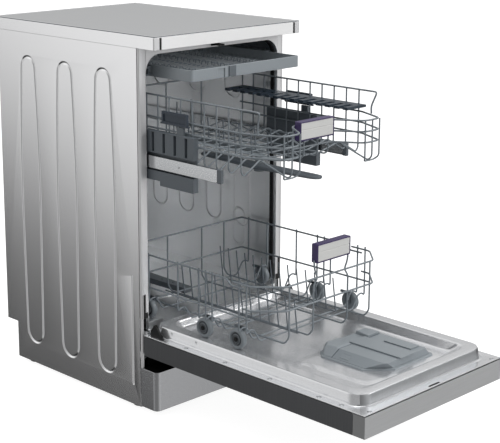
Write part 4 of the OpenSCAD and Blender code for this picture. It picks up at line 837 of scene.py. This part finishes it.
# Upper rack
# The same coated wire: three wires run round it and dive in behind the handle, and the rim is
# higher at the sides. It hangs on two moulded carriages with a height lever on each.
lo, hi = edges("upper_rack_wires")
grip_lo, grip_hi = edges("upper_handle")
ur_half, ur_top, ur_floor = hi.x - wire_r, hi.z - wire_r, lo.z + wire_r
light_r = wire_r * 0.9
rails_z = [ur_top - 48 - 24 * i for i in range(3)]
side_front, rim_front = rack_front + 78, rack_front + 41
bend_y, recess_y = rim_front + 12, rack_front + 63
ur_nose, inner_nose = ur_half - 34, ur_half - 81
handle_half = (grip_hi.x - grip_lo.x) / 2
hoop_pitch, hoop_count = 36, 11
prong_pitch, prong_count, prong_tall = 48, 7, 52
arm_run_x, nose_run_x, middle_x = ur_half * 0.3, 126, 22


def upper_wrap(z):
    return across([(-ur_half, rack_rear, z), (-ur_half, side_front, z), (-ur_nose, rack_front, z),
                   (-inner_nose, rack_front, z), (-handle_half - 8, recess_y, z)])


def upper_hoop(y):
    return across([(-ur_half, y, ur_top + 1), (-ur_half, y, ur_floor + 8), (-ur_half + 8, y, ur_floor),
                   (-ur_half * 0.66, y, ur_floor + 31), (-arm_run_x, y, ur_floor + 16)])


def arm_run(x, end_z):
    """A wire from the recess back along the rack's floor and up its rear."""
    return [(x, recess_y, rails_z[0]), (x, recess_y, ur_floor + 24), (x, recess_y + 8, ur_floor + 16),
            (x, rack_rear - 8, ur_floor + 16), (x, rack_rear, ur_floor + 24), (x, rack_rear, end_z)]


coated("upper_rack_rails", [upper_wrap(z) for z in rails_z], wire_r, 14, "upper_rack", "upper_rack_wires")
rim = [across([(-ur_half, bend_y, ur_top), (-ur_half, rack_rear, ur_top)])]
rim += mirrored([[(ur_half, bend_y + 20, ur_top), (ur_half, rim_front - 5, ur_top),
                  (ur_half - 6, bend_y - 6, ur_top - 32), (ur_half - 6, bend_y - 7, rails_z[0])]])
coated("upper_rack_rim", rim, wire_r, 7, "upper_rack")
hoops = [upper_hoop(side_front + 9 + hoop_pitch * i) for i in range(hoop_count)]
coated("upper_rack_hoops", hoops, light_r, 8, "upper_rack")
nose_loop = [(inner_nose, rack_front, rails_z[0]), (inner_nose, rack_front, ur_floor + 8),
             (inner_nose + 8, rack_front + 8, ur_floor), (ur_nose - 8, rack_front + 8, ur_floor),
             (ur_nose, rack_front, ur_floor + 8), (ur_nose, rack_front, rails_z[0])]
nose_run = [(nose_run_x, rack_front, rails_z[0]), (nose_run_x, rack_front, ur_floor + 10),
            (nose_run_x, rack_front + 10, ur_floor), (nose_run_x, rack_front + 90, ur_floor + 26),
            (nose_run_x, rack_rear, ur_floor + 26)]
loops = mirrored([nose_loop, nose_run, arm_run(arm_run_x, ur_top), arm_run(middle_x, rails_z[0])])
coated("upper_rack_loops", loops, light_r, 7, "upper_rack")
prongs = [[(x, y, ur_floor + 20), (x, y + 4, ur_floor + 20 + prong_tall)] for x in (-100, -40)
          for y in [rack_front + 90 + prong_pitch * i for i in range(prong_count)]]
place(wires("upper_rack_prongs", prongs, thin_r), tine_coat, "upper_rack", "coated_wire")
dress(mid_plastic, 0.8, "upper_carriages")
dress(blue_plastic, 1.2, "height_lever_left", "height_lever_right", segments=3)
dress(dark_plastic, 1.2, "folding_shelf", segments=3)
dress(grey_plastic, 0.8, "upper_spray_pipe")

# Upper spray arm
# A hollow blade welded from two mouldings, thickest along its spine and flatter at the tips. It
# turns on the pipe under the rack.
lo, hi = edges("upper_spray_arm")
arm_y, arm_reach = (lo.y + hi.y) / 2, (hi.y - lo.y) / 2
arm_w, arm_thick, tip_w = (hi.x - lo.x) / 2, hi.z - lo.z, 17
blade_power = 0.45
rings = []
for i in range(41):
    s = -math.cos(math.pi * i / 40)
    half = (arm_w - (arm_w - tip_w) * abs(s) ** 1.3) * math.sqrt(max(0.0, 1 - abs(s) ** 24)) + 0.3
    tall = arm_thick * (0.5 - 0.26 * abs(s) ** 0.8)
    rings.append([(half * across_share, arm_y + arm_reach * s,
                   lo.z + arm_thick - tall + tall * math.copysign(abs(up) ** blade_power, up))
                  for across_share, up in arc(1, 0, 360, 24)[:-1]])
spray_blade = shell("upper_spray_blade", rings, (0, arm_y, lo.z + arm_thick / 2), 60, True, True)
place(spray_blade, mid_plastic, "upper_arm", "grey_plastic", "upper_spray_arm")

# Top tray
# A moulded frame with a floor of fine coated wires, and low bent wires in rows that keep small
# things apart. A clip on the front holds the wire floor down.
# Polypropylene in a lighter grey than the other mouldings, smooth and satin
tray_plastic = finish("light grey moulded plastic", "#90979c", 0.36, grain=1.4, relief=0.04)
dress(tray_plastic, 0.8, "top_tray_frame", segments=3)
lo, hi = edges("top_tray_frame")
inner, y0, y1, floor_z = hi.x - 13, lo.y + 4, hi.y - 4, lo.z + 5
bar_rows, tine_rows = 30, 22
bars = [across([(-inner, y, floor_z + 3), (-inner + 5, y, floor_z)])
        for y in [y0 + (y1 - y0) * i / bar_rows for i in range(1, bar_rows)]]
bars += [[(x * inner, y0, floor_z - 2), (x * inner, y1, floor_z - 2)] for x in (-0.7, -0.35, 0, 0.35, 0.7)]
small = [[(x - 7, y, floor_z), (x - 5, y, floor_z + 9), (x + 5, y, floor_z + 9), (x + 7, y, floor_z)]
         for y in [y0 + 10 + (y1 - y0 - 20) * row / (tine_rows - 1) for row in range(tine_rows)]
         for x in (-0.55 * inner, 0.1 * inner, 0.6 * inner)]
coated("top_tray_bars", bars, 1.2, 8, "top_tray", "top_tray_wires")
coated("top_tray_tines", small, 1.1, 4, "top_tray")
block("top_tray_clip", (-57, lo.y - 2.6, lo.z + 1), (-36, lo.y + 1, hi.z - 0.4), 1.2, mid_plastic,
      "top_tray", "grey_plastic")

# Door casing
# A painted outer tray with the control panel at its free end; the panel's ends are moulded
# caps. The module and the latch sit inside, and three buttons show on the end.
# Dark painted steel with an upright brushing
door_paint = finish("dark brushed steel", "#626365", 0.36, metallic=0.9, grain=(0.67, 0.67, 83),
                    spread=0.06, tint=0.10)
# Grey painted steel, brushed across the panel
front_paint = finish("grey brushed front", "#b9babb", 0.50, metallic=0.35, grain=(83, 0.67, 0.67),
                     relief=0.04, spread=0.05, tint=0.05)
# Painted ABS, a little darker than the panel and without its brushing
cap_paint = finish("grey painted end cap", "#8a8b8c", 0.45, grain=1.25, relief=0.03, tint=0.02)
# Fibre glass board under green lacquer
board_green = finish("lacquered circuit board", "#1c4a30", 0.3, grain=1.1, relief=0.04)
dress(door_paint, 0.6, "door_outer_panel")
dress(front_paint, 0.6, "control_panel")
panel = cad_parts["control_panel"]
panel.data.materials.append(cap_paint)
for polygon in panel.data.polygons:
    polygon.material_index = 1 if abs(polygon.normal.x) > 0.9 else 0
dress(board_green, 0.5, "control_module")
dress(black_plastic, 0.5, "door_latch")
dress(bright_strip, 0.4, "power_button", "programme_button", "start_button")

# Hinges
# Plated arms turn in brackets on the base, balanced by springs. A black fin on each side of the
# door covers the arm.
dress(zinc, 0.5, "hinge_arms", "hinge_brackets", "hinge_springs")
lo, hi = edges("hinge_covers")
fin = [(0.5, 0.3), (6, 3), (15, 15), (22, 25), (27, 28.6), (30, 27.5), (41.5, 12), (41.5, 0.3)]
fin_x0, fin_x1 = 211.8, 218.6
for side, label in SIDES:
    rings = [[(side * x, lo.y + y, lo.z + z) for y, z in fin] for x in (fin_x0, fin_x1)]
    cover = face_outward(loft("hinge_fin_" + label, rings), (side * 215, lo.y + 24, lo.z + 8))
    covers = ["hinge_covers"] if side < 0 else []
    place(soften(cover, 1.2, 4, 12), black_plastic, "door", "black_plastic", *covers)

# Door pan
# One stainless sheet, deep drawn: a flat flange, a rim that stands up and carries the wheels,
# and a shallow basin inside it, with a low plateau pressed round the dispenser.
# Bright drawn stainless, polished along the draw: sharper highlights than the tub
pan_steel = finish("bright drawn stainless", "#e4e5e7", 0.23, metallic=0.78, grain=(25, 3.3, 25),
                   relief=0.006, spread=0.03, tint=0.02)
# The same drawn stainless, darkened as painted shade for the rim's front wall
pan_wall_shade = finish("drawn stainless with painted shade", "#a2a4a6", 0.34, metallic=0.9, grain=(3.3, 3.3, 25), relief=0.02,
                    spread=0.04)
lo, hi = edges("door_inner_panel")
flange_z, rim_z, basin_z = 185, hi.z, 191
door_end, door_back = lo.y, hi.y
foot, top_half, well, floor_half = 205, 202.5, 174, 158
# Half width, distances from the door's end and back, corner radius and height of each ring
flange_rings = [
    (224, 0, 0, 0.4, flange_z - 3), (224, 0, 0, 0.8, flange_z - 0.4), (223.6, 0.4, 0.4, 0.8, flange_z),
    (foot + 7, 20, 0.6, 36, flange_z), (foot + 6, 21, 1, 36, flange_z - 0.7),
    (foot + 5, 22, 2, 35, flange_z - 0.7), (foot + 3.6, 23.4, 3, 35, flange_z)]
rim_rings = [
    (foot + 1.2, 25.8, 4, 35, flange_z + 0.3), (foot, 27, 5, 34, flange_z + 1.4),
    (foot - 0.4, 27.4, 5.4, 34, flange_z + 4), (top_half + 0.6, 29.4, 6.6, 33, rim_z - 4),
    (top_half, 30, 7, 33, rim_z - 2.4), (top_half - 0.8, 30.8, 7.8, 32, rim_z - 0.8),
    (top_half - 2.6, 32.6, 9.6, 31, rim_z), (well + 3, 51, 26, 30, rim_z)]
basin_rings = [
    (well + 1, 53, 28, 29, rim_z - 0.4), (well - 1.4, 55.6, 30.4, 28, rim_z - 1.8),
    (well - 4, 58.4, 31.6, 27, rim_z - 4.4), (floor_half + 6, 72, 35, 26, basin_z + 4),
    (floor_half + 2, 77, 36.4, 25, basin_z + 1.4), (floor_half - 2, 82, 39, 25, basin_z + 0.3),
    (floor_half - 8, 88, 44, 25, basin_z), (90, 160, 110, 20, basin_z - 0.4)]
rings = [[(x, y, z) for x, y in ring_shape(half, door_end + front, door_back - rear, r, 10)]
         for half, front, rear, r, z in flange_rings + rim_rings + basin_rings]
pan = shell("door_pan", rings, (0, -250, 0), last=True)
place(pan, pan_steel, "door", "stainless", "door_inner_panel")
# The rim's front wall, facing the door's end, takes the darker steel as painted shade
pan.data.materials.append(pan_wall_shade)
for polygon in pan.data.polygons:
    if polygon.normal.y < -0.6 and polygon.center.y < (door_end + 40) * MM:
        polygon.material_index = 1
plateau_lo, plateau_hi, plateau_r = (-120, -506), (150, -300), 26
rings = []
for g, z in ((0, basin_z - 0.2), (6, basin_z + 0.3), (14, basin_z + 1.2), (20, basin_z + 1.4)):
    half = (plateau_hi[0] - plateau_lo[0]) / 2 - g
    outline = ring_shape(half, plateau_lo[1] + g, plateau_hi[1] - g, plateau_r, 6)
    rings.append([(x + (plateau_lo[0] + plateau_hi[0]) / 2, y, z) for x, y in outline])
place(shell("pan_plateau", rings, (15, -400, 150), last=True), pan_steel, "door", "stainless")

# Screws of the door
# Countersunk screws in dished washers hold the pan's flange to the casing; others stand in the
# pan's side walls and in the casing's sides.
# Nickel plated steel, small and bright
screw_steel = finish("plated screw head", "#b9bbbd", 0.24, metallic=1.0, grain=1.25)


def screw(name, head, spot, out):
    """A screw head turned about the way that it points, from (radius, height) pairs."""
    spot, out = Vector(spot), Vector(out)
    first = Vector((1, 0, 0)) if out.z else Vector((0, 1, 0))
    second = Vector((0, 1, 0)) if out.z else Vector((0, 0, 1))
    rings = [[spot + first * x + second * y + out * h for x, y in arc(r, 0, 360, 20)[:-1]] for r, h in head]
    return place(shell(name, rings, spot - out * 20, 45), screw_steel, "door", "screw_steel")


flat_head = [(5.2, 0), (5.0, 0.5), (4.2, 0.9), (3.4, 0.5), (3.2, 0.3), (3.0, 0.8), (1.6, 1.0), (1.2, 0.5),
             (0.05, 0.4)]
wall_head = [(0.1, -0.65), (1.2, -0.5), (1.6, 0.2), (2.8, 0.3), (3.0, -0.5), (3.6, -0.5), (4.6, 0.0),
             (5.2, -0.7)]
side_x, end_x = half_w - 10, half_w - 23
side_rows, end_row = (67, 125, 258, 387, 506), 8
screw_places = [(side * side_x, door_end + row) for side, _ in SIDES for row in side_rows]
screw_places += [(side * end_x, door_end + end_row) for side, _ in SIDES]
for i, (x, y) in enumerate(screw_places):
    head = screw(f"door_screw_{i}", flat_head, (x, y, flange_z), (0, 0, 1))
    if i == 0:
        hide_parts("door_screws")
for side, label in SIDES:
    for i, y in enumerate((-19, -96)):
        screw(f"pan_screw_{label}_{i}", wall_head, (side * (foot - 1.4), y, 199), (side, 0, 0))
    screw(f"door_side_screw_{label}", wall_head, (side * (half_w - 0.3), 27, 172), (side, 0, 0))
mouth_half = 17
block("latch_mouth", (-mouth_half, door_end + 4.5, flange_z - 1),
      (mouth_half, door_end + 9.5, flange_z + 0.4), 0.3, black_plastic, "door", "black_plastic")

# Dispenser
# A moulded unit clipped into the basin: a base plate under a sloped block with two raised horns
# at its back. A lid slides back between the horns, and a small hinged cap closes the rinse inlet.
# Cool grey polypropylene with a fine spark-eroded skin: satin and even
dispenser_plastic = finish("cool grey moulded plastic", "#8b9297", 0.36, grain=1.7, relief=0.04)
lo, hi = edges("dispenser_body")
base_top, block_top, horn_top = basin_z + 5, hi.z - 6, hi.z
horn_front = hi.y - 45
cut_w, cut, rear_cut, corner_cut = 52, 43, 22, 5


def unit_ring(left, right, front, rear, share, z):
    """The unit's outline, drawn in from its box, with its left corners cut off by a share."""
    x0, x1, ya, yb = lo.x + left, hi.x - right, lo.y + front, hi.y - rear
    front_corners = [(x0, ya + cut * share), (x0 + cut_w * share, ya), (x1 - corner_cut, ya),
                     (x1, ya + corner_cut)]
    rear_corners = [(x1, yb - corner_cut), (x1 - corner_cut, yb), (x0 + rear_cut * share, yb),
                    (x0, yb - rear_cut * share)]
    return [(x, y, z) for x, y in front_corners + rear_corners]


def moulded(name, rings, inside, width, *nodes):
    piece = soften(face_outward(loft(name, rings), inside), width, 4, 12)
    place(even_shading(piece), dispenser_plastic, "door", "dark_slate_plastic", *nodes)


base_steps = ((0, 0, 0, 0, 1, basin_z), (0, 0, 0, 0, 1, base_top - 1.2), (1.6, 1.6, 1.6, 1.6, 0.97, base_top))
block_steps = ((4.5, 5, 5, 5, 0.9, base_top - 1), (6, 6, 5.6, 5, 0.86, base_top + 1.6),
               (29, 15, 7, 6, 0.12, block_top - 0.5), (30, 16, 8, 6.5, 0.1, block_top))
moulded("dispenser_base", [unit_ring(*step) for step in base_steps], (20, -395, 193), 0.8, "dispenser_body")
moulded("dispenser_block", [unit_ring(*step) for step in block_steps], (20, -395, 200), 0.9)
moulded("dispenser_horn_left", [
    [(lo.x + 5.4, horn_front - 1, base_top + 1), (8, horn_front - 1, base_top + 1),
     (8, hi.y - 5, base_top + 1), (lo.x + 24, hi.y - 5, base_top + 1), (lo.x + 5.4, hi.y - 23, base_top + 1)],
    [(lo.x + 27, horn_front - 1, block_top), (8, horn_front - 1, block_top), (8, hi.y - 6, block_top),
     (lo.x + 30, hi.y - 6, block_top), (lo.x + 15, hi.y - 18, block_top)],
    [(lo.x + 29, horn_front + 5, block_top + 3), (7, horn_front + 5, block_top + 3),
     (6, hi.y - 9, horn_top - 1), (lo.x + 33, hi.y - 9, horn_top - 1), (lo.x + 20, hi.y - 19, horn_top - 1)]],
    (-20, hi.y - 25, 204), 1.6)
moulded("dispenser_horn_right", [
    [(62, horn_front, block_top - 1), (hi.x - 13, horn_front, block_top - 1),
     (hi.x - 8, hi.y - 8, block_top - 4), (66, hi.y - 6, block_top - 1)],
    [(62, horn_front, horn_top), (hi.x - 21, horn_front, horn_top), (hi.x - 24, hi.y - 11, horn_top),
     (68, hi.y - 9, horn_top)]], (85, hi.y - 25, 208), 1.6)
block("dispenser_seam", (lo.x + 30, horn_front - 1.6, block_top - 2),
      (hi.x - 18, horn_front - 0.6, block_top + 0.25), 0.2, dark_plastic, "door", "dark_slate_plastic")
seam_ends = ((lo.x + 5.4, lo.x + 8, base_top + 1.4), (lo.x + 28.6, lo.x + 31, block_top + 0.25))
seam_side = loft("dispenser_seam_side", [
    [(x0, horn_front - 2.2, z), (x1, horn_front - 2.2, z), (x1, horn_front - 1, z), (x0, horn_front - 1, z)]
    for x0, x1, z in seam_ends], smooth=False)
place(face_outward(seam_side, (lo.x + 60, horn_front - 1.6, 190)), dark_plastic, "door", "dark_slate_plastic")
for i, x in enumerate((9.6, 61, 64.4)):
    block(f"dispenser_line_{i}", (x, lo.y + 9, block_top - 1), (x + 0.6, horn_front - 2, block_top + 0.15),
          0.15, dark_plastic, "door", "dark_slate_plastic")
window_steps = ((10, 23, -394, -370, 200.3, 206.6), (10.4, 22.4, -393.4, -370.6, 201.1, 206.9),
                (12, 21, -391, -373, 201.4, 205.8))
window = loft("dispenser_window", [
    [(lo.x + x0, y0, z0), (lo.x + x1, y0, z1), (lo.x + x1, y1, z1), (lo.x + x0, y1, z0)]
    for x0, x1, y0, y1, z0, z1 in window_steps], close_first=False, smooth=False)
place(face_outward(window, (lo.x + 34, -382, 190)), dispenser_plastic, "door", "dark_slate_plastic")
dress(dispenser_plastic, 1.0, "dispenser_lid", "rinse_aid_cap", segments=3)
